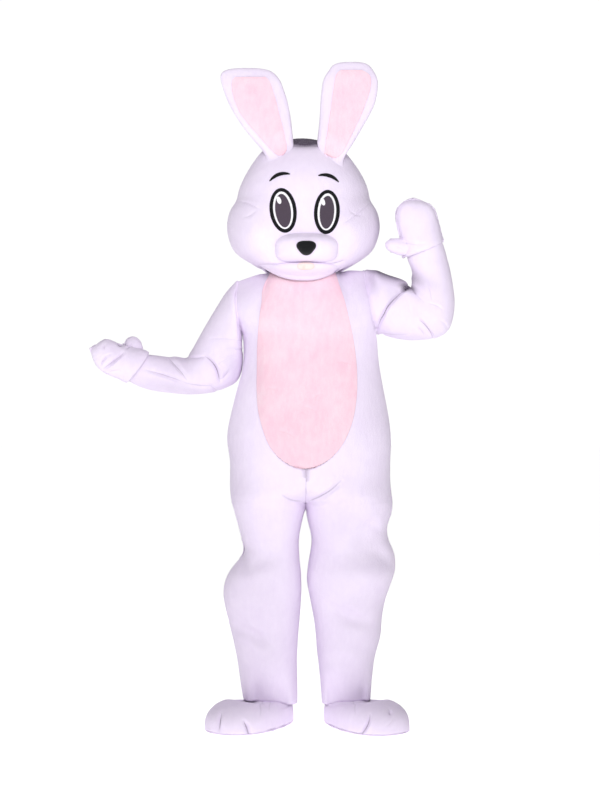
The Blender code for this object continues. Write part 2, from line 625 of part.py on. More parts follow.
def armhole_loop(side, grids):
    """Outer and inner edge of the armhole, from the armpit up the front and down the back."""
    loops = []
    for layer in (0, 1):
        front = grids[f"suit_front_{side}"][layer]
        back = grids[f"suit_back_{side}"][layer]
        first = len(front) - YOKE_ROWS
        gaps = []
        for grid in (front, back):
            edge = grid[first:, 0]
            inside = np.concatenate([grid[first - 1 : first, 0], grid[first + 1 :, 1]])
            gaps.append(edge + unit(edge - inside) * ARMHOLE_SEAM)
        middle_low, middle_top = (gaps[0][0] + gaps[1][0]) / 2, (gaps[0][-1] + gaps[1][-1]) / 2
        loops.append(np.array([middle_low, *gaps[0][1:-1], middle_top, *gaps[1][-2:0:-1]]))
    return loops


def sleeve_rings(side, columns):
    """Outer rings of a sleeve after the armhole."""
    rings = []
    for s in SLEEVES[side]:
        high, low = np.array([s.x1, s.y, s.z1]), np.array([s.x2, s.y, s.z2])
        middle, axis = (high + low) / 2, (high - low) / 2
        turns = np.arange(columns) / columns * 2 * np.pi
        ring = middle - axis * np.cos(turns)[:, None]
        ring = ring + np.array([0, -s.half_depth, 0]) * np.sin(turns)[:, None]
        rings.append(ring)
    return np.array(rings)


def make_sleeve(side, grids, finish):
    """A sleeve: its first ring meets the armhole and the rest follow the arm's sections."""
    outer_loop, inner_loop = armhole_loop(side, grids)
    rings = sleeve_rings(side, len(outer_loop))
    outer = np.concatenate([outer_loop[None], rings])
    inner = outer - grid_normals(outer, wraps=True) * CLOTH
    inner[0] = inner_loop
    wall(f"sleeve_{side}", outer, inner, finish, wraps=True)


def panel_point(side, half, level, x):
    """The suit's surface at a level and a distance x from the centre plane."""
    low, high = 0.0, 1.0
    for _ in range(SEARCH_STEPS):
        share = (low + high) / 2
        if abs(body_point(side, half, level, share)[0]) > abs(x):
            low = share
        else:
            high = share
    return body_point(side, half, level, share)


def lay_on(patch, gap, thick):
    """Outer and inner grids of a sheet that lies on a patch of surface that faces the front."""
    normals = unit(np.cross(np.gradient(patch, axis=0), np.gradient(patch, axis=1)))
    normals = normals * np.where(normals[..., 1:2] > 0, -1, 1)
    return patch + normals * (gap + thick), patch + normals * gap


def make_belly(finish):
    """The pink panel over both fronts."""
    heights = column(BELLY, "height")
    suit_levels = body_levels()
    upper = suit_levels[(suit_levels > BELLY_ROUND) & (suit_levels < heights[-1])]
    levels = np.concatenate([heights[heights < BELLY_ROUND], upper, heights[-1:]])
    rows = []
    for level in levels:
        x1, x2 = read(BELLY, "x1", level), read(BELLY, "x2", level)
        xs = x1 + (x2 - x1) * (1 - np.cos(np.linspace(0, np.pi, BELLY_COLUMNS))) / 2
        rows.append([panel_point("left" if x > 0 else "right", "front", level, x) for x in xs])
    outer, inner = lay_on(np.array(rows), BELLY_LIFT, BELLY_CLOTH)
    wall("belly_panel", outer, inner, finish)


def zip_line():
    """Middle of the zip at the suit's outer surface, from top to bottom."""
    levels = body_levels()[::-1]
    levels = np.clip(levels[levels > ZIP_BOTTOM], 0, ZIP_TOP)
    line = np.array([body_point("left", "back", level, 1.0) for level in levels])
    line[:, 0] = 0
    return line


def strip_along(name, line, half_width, out, thick, finish):
    """A flat strip along the zip, its outer face at out from the suit's surface."""
    tangents = unit(np.gradient(line, axis=0))
    outward = unit(np.cross(tangents, [1.0, 0, 0]))
    outward = outward * np.sign(outward[:, 1:2])
    sides = np.array([-half_width, half_width])[None, :, None] * np.array([1.0, 0, 0])
    outer = (line + outward * out)[:, None] + sides
    inner = (line + outward * (out - thick))[:, None] + sides
    wall(name, outer, inner, finish)
    return outward


def place_small(name, work, middle, tilt, finish):
    """An object with its origin at middle, turned about X by tilt."""
    mesh = bpy.data.meshes.new(name)
    work.to_mesh(mesh)
    work.free()
    mesh.materials.append(finish)
    piece = bpy.data.objects.new(name, mesh)
    piece.location = np.array(middle) - (0, 0, HOLD_HEIGHT)
    piece.rotation_euler = (tilt, 0, 0)
    bpy.context.collection.objects.link(piece)
    return piece


def make_pull(pivot, tilt, finish):
    """The hanging pull, a block with soft edges. Its origin is on its pivot."""
    work = bmesh.new()
    bmesh.ops.create_cube(work, size=1)
    bmesh.ops.scale(work, vec=PULL, verts=work.verts)
    bmesh.ops.translate(work, vec=(0, 0, PULL_EYE - PULL[2] / 2), verts=work.verts)
    bmesh.ops.bevel(work, geom=work.edges, offset=min(PULL) * BEVEL_SHARE, segments=1, affect="EDGES")
    place_small("zip_pull", work, pivot, tilt, finish)


def make_slider(middle, tilt, finish):
    """The slider, with a lug on each side of the pull's eye."""
    inner = PULL[0] / 2 + SEAM
    outer, back = inner + SLIDER_LUG[0], -SLIDER_DEPTH / 2
    face, lug = -back, -back + SLIDER_LUG[1]
    profile = [(-outer, back), (outer, back), (outer, lug), (inner, lug)]
    profile += [(inner, face), (-inner, face), (-inner, lug), (-outer, lug)]
    work = bmesh.new()
    ends = []
    for z in (-SLIDER_LENGTH / 2, SLIDER_LENGTH / 2):
        ends.append([work.verts.new((x, y, z)) for x, y in profile])
    count = len(profile)
    for k in range(count):
        n = (k + 1) % count
        work.faces.new((ends[0][k], ends[0][n], ends[1][n], ends[1][k]))
    for end in ends:
        work.faces.new(end)
    bmesh.ops.recalc_face_normals(work, faces=work.faces)
    place_small("zip_slider", work, middle, tilt, finish)


def make_tape(grids, finish):
    """The zip's tape, from the inner points of the back panels along their edges."""
    open_rows = body_levels() > ZIP_BOTTOM
    sides = []
    for side in ("right", "left"):
        inner = grids[f"suit_back_{side}"][1][open_rows]
        edge, beside = inner[:, -1], inner[:, -2]
        share = (TAPE_HALF_WIDTH - abs(edge[:, 0])) / (abs(beside[:, 0]) - abs(edge[:, 0]))
        sides.append([edge + (beside - edge) * share[:, None], edge])
    outer = np.stack([sides[0][0], sides[0][1], sides[1][1], sides[1][0]], axis=1)
    normals = unit(np.cross(np.gradient(outer, axis=0), np.gradient(outer, axis=1)))
    normals = normals * np.where(normals[..., 1:2] < 0, -1, 1)
    outer = outer - normals * TAPE_GAP
    wall("zip_tape", outer, outer - normals * TAPE_THICK, finish)


def make_zip(grids, tape_finish, metal):
    """Tape behind the panels' edges, chain in the opening, slider at the top and its hanging pull."""
    line = zip_line()
    make_tape(grids, tape_finish)
    outward = strip_along("zip_chain", line, CHAIN_HALF_WIDTH, 0.0, CLOTH + TAPE_GAP - SEAM, metal)
    top, along = line[1], unit(line[2] - line[0])
    tilt = math.atan2(along[1], -along[2])
    face = outward[1]
    slider_middle = top + face * (SEAM + SLIDER_DEPTH / 2)
    make_slider(slider_middle, tilt, metal)
    make_pull(slider_middle + face * (SLIDER_DEPTH / 2 + PULL_GAP + PULL[1] / 2), tilt, metal)


# Head


def head_sizes(height):
    """Half width of the face, half width of the back, front depth and back depth."""
    squares = []
    for name in ("cheek", "temple", "front", "back"):
        squared = [row._replace(**{name: getattr(row, name) ** 2}) for row in HEADS]
        squares.append(math.sqrt(max(float(read(squared, name, height)), 0.0)))
    return squares


def bulge_out(x, z):
    """How far the cheeks push the face forward."""
    out = 0.0
    for b in BULGES:
        out += b.out * math.exp(-(((x - b.x) / b.half_width) ** 2) - ((z - b.z) / b.half_height) ** 2)
    return out


def head_point(turn, height):
    """A point of the head. turn is in degrees from the wearer's left, 90 at the face."""
    a = math.radians(turn)
    cheek, temple, front, back = head_sizes(height)
    facing = math.sin(a)
    blend = min(1.0, max(0.0, 1 + facing / CHEEK_BLEND))
    width = temple + (cheek - temple) * blend * blend * (3 - 2 * blend)
    power = 2 / ROUNDNESS
    x = math.copysign(abs(math.cos(a)) ** power, math.cos(a)) * width
    y = -math.copysign(abs(facing) ** power, facing) * (front if facing > 0 else back)
    fade = max(0.0, (RIM_FADE - height) / (RIM_FADE - HEADS[0].height))
    z = height + RIM_WAVE * fade * math.cos(2 * a)
    point = np.array([HEAD_MIDDLE[0] + x, HEAD_MIDDLE[1] + y, z])
    point[1] -= bulge_out(point[0], height) * max(0.0, facing) ** 0.5
    return point


def face_y(x, z):
    """The face's surface at a place seen from the front."""
    height, turn = z, 90.0
    for _ in range(RIM_STEPS):
        cheek = head_sizes(height)[0]
        across = min(FACE_SIDE, max(-FACE_SIDE, (x - HEAD_MIDDLE[0]) / cheek))
        turn = math.degrees(math.acos(math.copysign(abs(across) ** (ROUNDNESS / 2), across)))
        height += RIM_STEP * (z - head_point(turn, height)[2])
    return head_point(turn, height)[1]


def head_height(x, y):
    """The head's upper surface over a place."""
    low, high = HEADS[-5].height, HEADS[-1].height
    for _ in range(SEARCH_STEPS):
        z = (low + high) / 2
        cheek, _, front, back = head_sizes(z)
        depth = front if y < HEAD_MIDDLE[1] else back
        across = abs(x - HEAD_MIDDLE[0]) / max(cheek, 1e-6)
        along = abs(y - HEAD_MIDDLE[1]) / max(depth, 1e-6)
        if across**ROUNDNESS + along**ROUNDNESS < 1:
            low = z
        else:
            high = z
    return low


def make_head(finish):
    """Face, two backs and the crown, all from one surface."""
    heights = np.append(column(HEADS, "height")[:-2], CROWN_HEIGHTS[0])
    face, back = HEAD_COLUMNS["face"], HEAD_COLUMNS["back"]
    parts = [
        ("head_face", -FACE_SEAM, 180 + FACE_SEAM, face),
        ("head_back_right", 180 + FACE_SEAM, 270, back),
        ("head_back_left", 270, 360 - FACE_SEAM, back),
    ]
    edges = [np.linspace(start, stop, n + 1)[:-1] for _, start, stop, n in parts]
    around = np.concatenate(edges)
    ring = np.array([[head_point(turn, h) for turn in around] for h in heights])
    normals = grid_normals(ring, wraps=True)
    inner = ring - normals * HEAD_WALL
    first = 0
    for name, _, _, n in parts:
        pick = [(first + k) % len(around) for k in range(n + 1)]
        grids = [close_gap(layer[:, pick]) for layer in (ring, inner)]
        wall(name, *grids, finish)
        first += n
    make_crown(around, normals[-1], finish)


def close_gap(grid):
    """Moves a panel's two side edges and its top edge back by half a seam."""
    grid = grid.copy()
    grid[:, 0] += unit(grid[:, 1] - grid[:, 0]) * SEAM / 2
    grid[:, -1] += unit(grid[:, -2] - grid[:, -1]) * SEAM / 2
    grid[-1] += unit(grid[-2] - grid[-1]) * SEAM / 2
    return grid


def make_crown(around, rim_normals, finish):
    """The round cap on the top of the head."""
    ring = np.array([[head_point(turn, h) for turn in around] for h in CROWN_HEIGHTS])
    normals = grid_normals(ring, wraps=True)
    normals[0] = rim_normals
    inner = ring - normals * HEAD_WALL
    for layer in (ring, inner):
        layer[0] += unit(layer[1] - layer[0]) * SEAM / 2
    apex = np.array([*HEAD_MIDDLE, HEADS[-1].height])
    tip = (apex, apex - [0, 0, HEAD_WALL])
    wall("head_crown", ring, inner, finish, wraps=True, tip=tip)


def dome(share):
    """Height of a domed pad from its outline (share 1) to its middle (share 0)."""
    return max(0.0, 1 - min(1.0, share) ** DOME_RISE) ** (1 / DOME_FLAT)


def round_outline(turn):
    """The plain oval outline."""
    return 1.0


def box_outline(turn):
    """An oval on its way to a box with round corners."""
    across, up = abs(math.cos(turn)), abs(math.sin(turn))
    return (across**MUZZLE_ROUNDNESS + up**MUZZLE_ROUNDNESS) ** (-1 / MUZZLE_ROUNDNESS)


def face_patch(name, oval, base, finish, counts, out, edge=PAD_EDGE, outline=round_outline, bow=0.0):
    """A pad or sheet on the face, its back on base and its front domed. counts are its rings and
    the points in each."""
    rings, columns = counts
    turns = np.arange(columns) / columns * 2 * np.pi
    tilt = math.radians(oval.tilt)
    shares = np.linspace(1, 0, rings + 1)[:-1]
    front, back = [], []
    for share in shares:
        front_row, back_row = [], []
        for turn in turns:
            reach = outline(turn)
            u = oval.half_width * math.cos(turn) * reach * share
            v = oval.half_height * math.sin(turn) * reach * share
            v -= bow * (u / oval.half_width) ** 2
            x = oval.x + u * math.cos(tilt) - v * math.sin(tilt)
            z = oval.z + u * math.sin(tilt) + v * math.cos(tilt)
            y = base(x, z)
            back_row.append((x, y, z))
            front_row.append((x, y - edge - (out - edge) * dome(share), z))
        front.append(front_row)
        back.append(back_row)
    middle = base(oval.x, oval.z)
    tips = ((oval.x, middle - out, oval.z), (oval.x, middle, oval.z))
    return wall(name, np.array(front), np.array(back), finish, wraps=True, tip=tips)


def over_face(gap):
    """The face's surface moved forward by a gap."""
    return lambda x, z: face_y(x, z) - gap


def pad_surface(oval, out, gap, outline=round_outline):
    """Just in front of a domed pad on the face."""

    def surface(x, z):
        across, up = (x - oval.x) / oval.half_width, (z - oval.z) / oval.half_height
        share = math.hypot(across, up) / outline(math.atan2(up, across))
        lift = LIFT + gap + PAD_EDGE + (out - PAD_EDGE) * dome(share)
        return face_y(x, z) - lift

    return surface


def nose_outline(turn):
    """A rounded triangle with its point down."""
    return 1.0 + NOSE_CORNERS * math.sin(3 * turn)


def make_face(finish):
    """Muzzle, jaw, tooth, nose, eyes and brows."""
    plush, black, on_face = finish["plush"], finish["black"], over_face(LIFT)
    face_patch("muzzle", MUZZLE, on_face, plush, (5, 24), MUZZLE_OUT, outline=box_outline)
    face_patch("jaw", JAW, over_face(JAW_LIFT), plush, (3, 24), JAW_OUT, outline=box_outline)
    on_muzzle = pad_surface(MUZZLE, MUZZLE_OUT, LIFT, outline=box_outline)
    on_jaw = pad_surface(JAW, JAW_OUT, JAW_LIFT, outline=box_outline)
    face_patch("nose", NOSE, on_muzzle, black, (3, 18), NOSE_OUT, outline=nose_outline)
    face_patch("tooth", TOOTH, on_jaw, finish["cream"], (2, 14), TOOTH_OUT)
    for side, eye in EYES.items():
        make_eye(side, eye, finish)
        face_patch(f"brow_{side}", BROWS[side], on_face, black, (2, 18), BROW_OUT, bow=BROW_BOW)


def shrunk(oval, inset, drop=0.0):
    """An oval moved in by inset all round and down by drop."""
    width, height = oval.half_width - inset, oval.half_height - inset
    return oval._replace(z=oval.z - drop, half_width=width, half_height=height)


def make_eye(side, eye, finish):
    """Four sheets on each other: black rim, white, dark pupil, white glint."""
    layers = [
        ("rim", eye, finish["black"], 24),
        ("white", shrunk(eye, EYE_RIM), finish["white"], 24),
        ("pupil", shrunk(eye, EYE_RIM + EYE_WHITE, PUPIL_DROP), finish["pupil"], 20),
        ("glint", GLINT._replace(x=eye.x + GLINT.x, z=eye.z + GLINT.z), finish["white"], 12),
    ]
    gap = LIFT
    for name, oval, look, columns in layers:
        base, label = over_face(gap), f"eye_{side}_{name}"
        face_patch(label, oval, base, look, (2, columns), EYE_SHEET, edge=EYE_SHEET)
        gap += EYE_SHEET + 2 * SEAM


def ear_front(side, x, height):
    """Half thickness of an ear at x, and the y of its middle plane."""
    x1, x2 = read(EARS[side], "x1", height), read(EARS[side], "x2", height)
    share = np.clip(abs(2 * (x - x1) / (x2 - x1) - 1), 0, 1)
    half = read(EARS[side], "half_thick", height) * (1 - share**EAR_ROUNDNESS) ** (1 / EAR_ROUNDNESS)
    return half, ear_y(height)


def ear_y(height):
    """The ear's middle plane."""
    return EAR_Y + EAR_LEAN * (height - EAR_BASE)


def ear_ring(side, row, columns):
    """A ring round the ear. The rows rise from the head's slope to the level top."""
    base, top = EARS[side][0], EARS[side][-1]
    share = (row.height - base.height) / (top.height - base.height)
    power = 2 / EAR_ROUNDNESS
    ring = []
    for k in range(columns):
        turn = k / columns * 2 * math.pi
        across = math.copysign(abs(math.cos(turn)) ** power, math.cos(turn))
        depth = math.copysign(abs(math.sin(turn)) ** power, math.sin(turn))
        x = (base.x1 + base.x2) / 2 + (base.x2 - base.x1) / 2 * across
        y = EAR_Y - base.half_thick * depth
        foot = head_height(x, y) + EAR_GAP
        z = foot + (top.height - foot) * share
        if share > 0:
            x1, x2 = read(EARS[side], "x1", z), read(EARS[side], "x2", z)
            x = (x1 + x2) / 2 + (x2 - x1) / 2 * across
            y = ear_y(z) - read(EARS[side], "half_thick", z) * depth
        ring.append((x, y, z))
    return ring


def make_ear(side, plush, pink):
    """A stuffed ear standing on the head, and the pink lining on its front."""
    rings = np.array([ear_ring(side, row, EAR_COLUMNS) for row in EARS[side]])
    foot = rings[0].mean(axis=0)
    foot[2] = head_height(foot[0], foot[1]) + 5 * EAR_GAP
    crest = rings[-1].mean(axis=0) + [0, 0, EARS[side][-1].half_thick * EAR_CREST]
    solid_rings(f"ear_{side}", rings, plush, foot, crest)
    make_lining(side, pink)


def make_lining(side, pink):
    """The pink lining on the ear's front."""
    rows = []
    for row in LININGS[side]:
        xs = row.x1 + (row.x2 - row.x1) * (1 - np.cos(np.linspace(0, np.pi, LINING_COLUMNS))) / 2
        line = []
        for x in xs:
            half, y = ear_front(side, x, max(row.height, EARS[side][0].height))
            line.append((x, y - half, row.height))
        rows.append(line)
    outer, inner = lay_on(np.array(rows), LINING_LIFT, LINING_CLOTH)
    wall(f"ear_{side}_inner", outer, inner, pink)


# Mitts and feet


def hand_rings(sections, columns):
    """Rings round a hand or thumb, from its edge sections."""
    rings = []
    turns = np.arange(columns) / columns * 2 * np.pi
    middles = np.array([[(s.x1 + s.x2) / 2, (s.y1 + s.y2) / 2, (s.z1 + s.z2) / 2] for s in sections])
    paths = unit(np.gradient(middles, axis=0))
    for s, middle, path in zip(sections, middles, paths):
        axis = np.array([s.x1, s.y1, s.z1]) - middle
        front = unit(np.cross(path, axis))
        front = front * (-1 if front[1] > 0 else 1)
        ring = middle + axis * np.cos(turns)[:, None] + front * s.half_thickness * np.sin(turns)[:, None]
        rings.append(ring)
    return np.array(rings)


def tool(name, rings, first, last):
    """A solid used only to cut or join, left out of the model."""
    piece = solid_rings(name, rings, None, first, last)
    piece.hide_render = True
    piece.display_type = "WIRE"
    return piece


def combine(piece, other, operation):
    """Joins another object to a piece or cuts it out, and removes the other object."""
    modifier = piece.modifiers.new(operation, "BOOLEAN")
    modifier.operation = operation
    modifier.object = other
    modifier.solver = "MANIFOLD"
    graph = bpy.context.evaluated_depsgraph_get()
    result = bpy.data.meshes.new_from_object(piece.evaluated_get(graph))
    piece.modifiers.clear()
    piece.data = result
    bpy.data.objects.remove(other)
    return piece


def hand_solid(side, inset, reach):
    """The hand and thumb in one solid. inset shrinks it to the hollow, and reach opens the cuff."""
    hand = hand_rings(HANDS[side], HAND_COLUMNS)
    thumb = hand_rings(THUMBS[side], THUMB_COLUMNS)
    hand = hand - grid_normals(hand, wraps=True) * inset
    thumb = thumb - grid_normals(thumb, wraps=True) * inset
    cuff = hand[0].mean(axis=0)
    opening = unit(cuff - hand[1].mean(axis=0)) * reach
    hand[0] += opening
    tips = [np.array(t[side]) for t in (HAND_TIPS, THUMB_TIPS)]
    ends = [rings[-1].mean(axis=0) for rings in (hand, thumb)]
    tips = [tip - unit(tip - end) * inset for tip, end in zip(tips, ends)]
    whole = tool("hand", hand, hand[0].mean(axis=0), tips[0])
    other = tool("thumb", thumb, thumb[0].mean(axis=0), tips[1])
    return combine(whole, other, "UNION")


def half_space(side, facing):
    """A block over the half of the hand that a mitt's palm or back leaves out, past the seam."""
    sections = HANDS[side]
    tip = np.array(HAND_TIPS[side])
    edges = np.array([[[s.x1, s.y1, s.z1], [s.x2, s.y2, s.z2]] for s in sections])
    middle = edges.mean(axis=1)
    across = unit(edges[:, 0] - edges[:, 1])
    across = unit(across.mean(axis=0))
    path = unit(middle[-1] - middle[0])
    front = unit(np.cross(path, across))
    front = front * (-1 if front[1] > 0 else 1) * facing
    reach = HAND_BLOCK
    centre = (middle[0] + tip) / 2 - front * SEAM / 2
    corners = []
    for depth in (0, reach):
        for u, v in ((-1, -1), (1, -1), (1, 1), (-1, 1)):
            corners.append(centre + front * depth + across * u * reach + path * v * reach)
    faces = [(0, 1, 2, 3), (4, 5, 6, 7), (0, 1, 5, 4), (1, 2, 6, 5), (2, 3, 7, 6), (3, 0, 4, 7)]
    block = add_piece("half", corners, faces, None)
    block.hide_render = True
    block.display_type = "WIRE"
    return block


def make_mitt(side, finish):
    """Palm and back of a mitt, each with its half of the thumb."""
    for name, facing in (("palm", 1), ("back", -1)):
        shell = hand_solid(side, 0.0, 0.0)
        shell = combine(shell, hand_solid(side, CLOTH, CUFF_CUT), "DIFFERENCE")
        shell = combine(shell, half_space(side, -facing), "DIFFERENCE")
        shell.name = f"mitt_{side}_{name}"
        shell.data.materials.clear()
        shell.data.materials.append(finish)
        shell.hide_render = False
        shell.display_type = "TEXTURED"


def foot_outline(turn):
    """The sole's outline: along the foot and across it."""
    power = 2 / ROUNDNESS
    along = math.copysign(abs(math.cos(turn)) ** power, math.cos(turn))
    across = math.copysign(abs(math.sin(turn)) ** power, math.sin(turn))
    return FOOT_HALF_LENGTH * along, (FOOT_HALF_WIDTH + FOOT_TOE_FLARE * along) * across


def foot_rings(side, columns):
    """Rings of the upper, from the sole's edge over the foot and up the ankle."""
    rings = []
    for s in FOOT_SHARES:
        ring = []
        for k in range(columns):
            turn = k / columns * 2 * math.pi
            along, across = foot_outline(turn)
            ankle = (ANKLE_RADIUS * math.cos(turn) - ANKLE_BACK, ANKLE_RADIUS * math.sin(turn))
            toe = max(0.0, math.cos(turn)) ** TOE_BROAD
            top = HEEL_HEIGHT + (TOE_HEIGHT - HEEL_HEIGHT) * toe
            if s <= FOOT_TOP:
                f = s / FOOT_TOP
                inward = DOME_SHARE * (1 - math.cos(f * math.pi / 2))
                inward -= FOOT_BULGE * math.sin(f * math.pi)
                z = SOLE_THICK + SEAM + top * math.sin(f * math.pi / 2) ** FOOT_RISE
            else:
                f = min(1.0, (s - FOOT_TOP) / (1 - FOOT_TOP))
                inward = DOME_SHARE + (1 - DOME_SHARE) * f
                z = SOLE_THICK + SEAM + top + (INSTEP_HEIGHT - top) * f * (2 - f)
            if s > 1:
                z = ANKLE_TOP
            ring.append((along + (ankle[0] - along) * inward, across + (ankle[1] - across) * inward, z))
        rings.append(ring)
    return place_foot(side, np.array(rings))


def place_foot(side, points):
    """Turns a foot outwards and puts its ankle in the leg."""
    foot, sign = FEET[side], SIDE[side]
    a = math.radians(foot.turn)
    along = np.array([sign * math.sin(a), -math.cos(a), 0])
    across = np.array([math.cos(a), sign * math.sin(a), 0])
    ankle = np.array([foot.x, foot.y, 0])
    moved = ankle + (points[..., :1] + ANKLE_BACK) * along + points[..., 1:2] * across
    moved[..., 2] = points[..., 2]
    return moved


def make_foot(side, finish):
    """The upper, with its ankle inside the leg's hem, and the flat sole."""
    outer = foot_rings(side, FOOT_COLUMNS)
    inner = outer - grid_normals(outer, wraps=True) * CLOTH
    inner[0, :, 2] = outer[0, :, 2]
    inner[-1, :, 2] = outer[-1, :, 2]
    wall(f"foot_{side}_upper", outer, inner, finish, wraps=True)
    turns = np.arange(FOOT_COLUMNS) / FOOT_COLUMNS * 2 * math.pi
    outline = [foot_outline(turn) for turn in turns]
    rings = np.array([[(a, b, z) for a, b in outline] for z in (0.0, SOLE_THICK)])
    rings = place_foot(side, rings)
    ends = rings.mean(axis=1)
    solid_rings(f"foot_{side}_sole", rings, finish, ends[0], ends[1])


def main():
    for old in list(bpy.data.objects):
        bpy.data.objects.remove(old)
    plush = material("plush_white", (0.86, 0.79, 0.93), 0.95, 0.4)
    pink = material("plush_pink", (0.97, 0.62, 0.74), 0.95, 0.4)
    finish = {
        "plush": plush,
        "black": material("felt_black", (0.008, 0.007, 0.010), 0.8),
        "white": material("felt_white", (0.92, 0.92, 0.94), 0.8),
        "pupil": material("felt_grey", (0.10, 0.075, 0.11), 0.8),
        "cream": material("felt_cream", (0.93, 0.80, 0.74), 0.9),
    }
    metal = material("zip_white", (0.75, 0.72, 0.78), 0.45)
    grids = make_suit(plush)
    for side in SIDE:
        make_sleeve(side, grids, plush)
        make_mitt(side, plush)
        make_foot(side, plush)
        make_ear(side, plush, pink)
    make_belly(pink)
    make_zip(grids, plush, metal)
    make_head(plush)
    make_face(finish)


main()
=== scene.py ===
"""Looks of a rabbit mascot costume: plush with folds, seams and nap, felt face and zip, on the CAD frame.

Metres, +Z up, the front towards -Y, the wearer's left towards +X. The tables give heights above the
floor, which is HOLD_HEIGHT below the origin.
"""

import math
from collections import namedtuple

import bmesh
import bpy
import numpy as np
from mathutils import Matrix, Vector
from mathutils.bvhtree import BVHTree
from mathutils.kdtree import KDTree


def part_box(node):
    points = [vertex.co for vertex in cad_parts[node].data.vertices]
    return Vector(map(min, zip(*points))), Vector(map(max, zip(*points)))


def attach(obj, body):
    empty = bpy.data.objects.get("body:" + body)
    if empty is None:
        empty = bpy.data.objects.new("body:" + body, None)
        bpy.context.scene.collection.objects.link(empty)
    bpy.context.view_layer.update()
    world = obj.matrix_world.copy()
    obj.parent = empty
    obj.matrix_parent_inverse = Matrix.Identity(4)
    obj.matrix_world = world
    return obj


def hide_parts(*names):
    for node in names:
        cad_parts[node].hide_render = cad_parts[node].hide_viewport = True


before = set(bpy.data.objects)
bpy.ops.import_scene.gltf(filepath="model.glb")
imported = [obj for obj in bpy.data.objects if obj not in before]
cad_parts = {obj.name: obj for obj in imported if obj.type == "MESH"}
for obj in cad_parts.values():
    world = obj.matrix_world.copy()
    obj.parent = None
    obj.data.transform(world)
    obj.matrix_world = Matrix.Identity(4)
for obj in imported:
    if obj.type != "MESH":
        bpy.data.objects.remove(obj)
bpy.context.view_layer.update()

HOLD_HEIGHT = 1.33
BODY = "costume"
SIDES = ("left", "right")
SUIT = [f"{part}_{side}" for part in ("suit_front", "suit_back", "sleeve") for side in SIDES]
HEAD = ["head_face", "head_back_left", "head_back_right", "head_crown"]
TOWARDS_BACK, DOWN = Vector((0, 1, 0)), Vector((0, 0, -1))

# Thickness of the cloths, and of the CAD solids that they stand for
CLOTH = 0.0028
BELLY_CLOTH = 0.0022
HEAD_WALL = 0.006
CAD_CLOTH = 0.003
CAD_LINING = 0.0025
CAD_HEAD = 0.007
CAD_EAR = 0.01

# How the outer side of the CAD solids is found, sewn and divided
SHARP = math.cos(math.radians(58))  # faces that turn less than this are in one patch
HEAD_SHARP = math.cos(math.radians(35))
EDGE_STRIP = 1.4  # a patch narrower than this many walls is the edge of a wall
HIDDEN_SHARE = 0.5  # a patch with more than this behind other faces is an inner side
SEAM_REACH = 0.0036  # panels' edges closer than this are sewn together
TIGHT_REACH = 0.0012  # the same on the head and the mitts
END_SHARE = 0.6  # a point added to an edge is this share of the reach away from its ends
NO_PANEL = 99
RIM_TURN = 0.9  # the two directions from a point on a rim add up to more than this at a corner
LEAST_EDGE = 0.0028  # an edge shorter than this isn't divided again
FINER = ((3.0, 0.014), (2.2, 0.009), (1.1, 0.004))  # where: widths from a crease, metres from a seam

# Creases, seams and waves. The places and widths of ridges are shares of the crease's or seam's width
SIDE_ON = 0.25  # cloth takes the front's creases where its normal's y is under this
CREASE_STEPS = 25
CREASE_REACH = 4
NO_CREASE = 9.0
RIDGE_PLACE, RIDGE_WIDTH = 1.7, 1.1
NARROW = 0.013  # creases narrower than this are lines with painted shade along their bottom
LINE_SHARE = 0.24  # width of that line
DARKEST = 0.013  # depth of a crease whose bottom gets the full painted shade
MOST_SHADE = 0.96
SEAM_RIDGE_PLACE, SEAM_RIDGE_HEIGHT = 2.2, 0.35
SEAM_SPREAD = 0.03
SEAM_PUCKER = (0.02, 1.0, 5)  # a wave's length, depth and seed, as in all waves here
WAVE_COUNT = 7
SUIT_WAVES = [(0.3, 0.003, 1), (0.11, 0.0012, 2)]
BELLY_WAVES = [*SUIT_WAVES, (0.09, 0.0006, 4)]
HEAD_WAVES = [(0.16, 0.0016, 3)]
LINING_WAVES = [(0.05, 0.0004, 4)]
MITT_WAVES = [(0.05, 0.0008, 6)]
FOOT_WAVES = [(0.08, 0.0015, 7)]
FAINT_SEAM = 0.25  # how strong the armhole seams are beside the others
HUG_REACH = 0.014  # how far from its edge a cuff is drawn in
CUFF_HUG = 0.0032

# Leg hems: the height that they lie below, how far they move back and down at most, and how that fades
HEM_TOP = 0.16
HEM_GAP = 0.04
HEM_DROP = 0.022
HEM_REACH = 0.11
HEM_BLEND = 0.014
HEM_FRONT = 0.3

# Ears: how far above the head their foot is flattened onto it
EAR_REACH = 0.045
EAR_SINK = 0.003
EAR_EASE = 0.85
LINING_LIFT = 0.0022

# Stitches, zip teeth, soles, and the colour that painted shade mixes into the cloth
STITCH_PITCH = 0.0042
STITCH_LENGTH = 0.0052
STITCH_SECTION = (0.001, 0.0009)
STITCH_WANDER = 0.0016
STITCH_TURN = 0.5
STITCH_SINK = 0.0002
STITCH_TOP = 0.815
STITCH_BEVEL = 0.0002
TOOTH_PITCH = 0.0032
TEETH_OUT = 0.0016
TEETH_SIZE = (0.003, 0.0021, 0.0013)
TEETH_ASIDE = 0.0009
TEETH_BEVEL = 0.0003
TAPE_ASIDE = 0.005
TAPE_STEP = 0.004
SOLE_COLUMNS = 144
SOLE_INNER = 0.02
# the colour that painted shade darkens the cloth towards
PAINTED_SHADE_COLOUR = (0.06, 0.04, 0.075)

# The studio
SHADE_WAY = (0.42, 0.72, 0.5)  # where the room is darkest
ROOM_BRIGHT = 0.43
ROOM_DARK = 0.0
BACKDROP = 1.04
FLOOR_GLOW = 0.78
FLOOR_HALF = 30
LIGHTS_AIM = Vector((0, 0, 0.15))
CAMERA = (-0.017, -5.0, 0.965 - HOLD_HEIGHT)


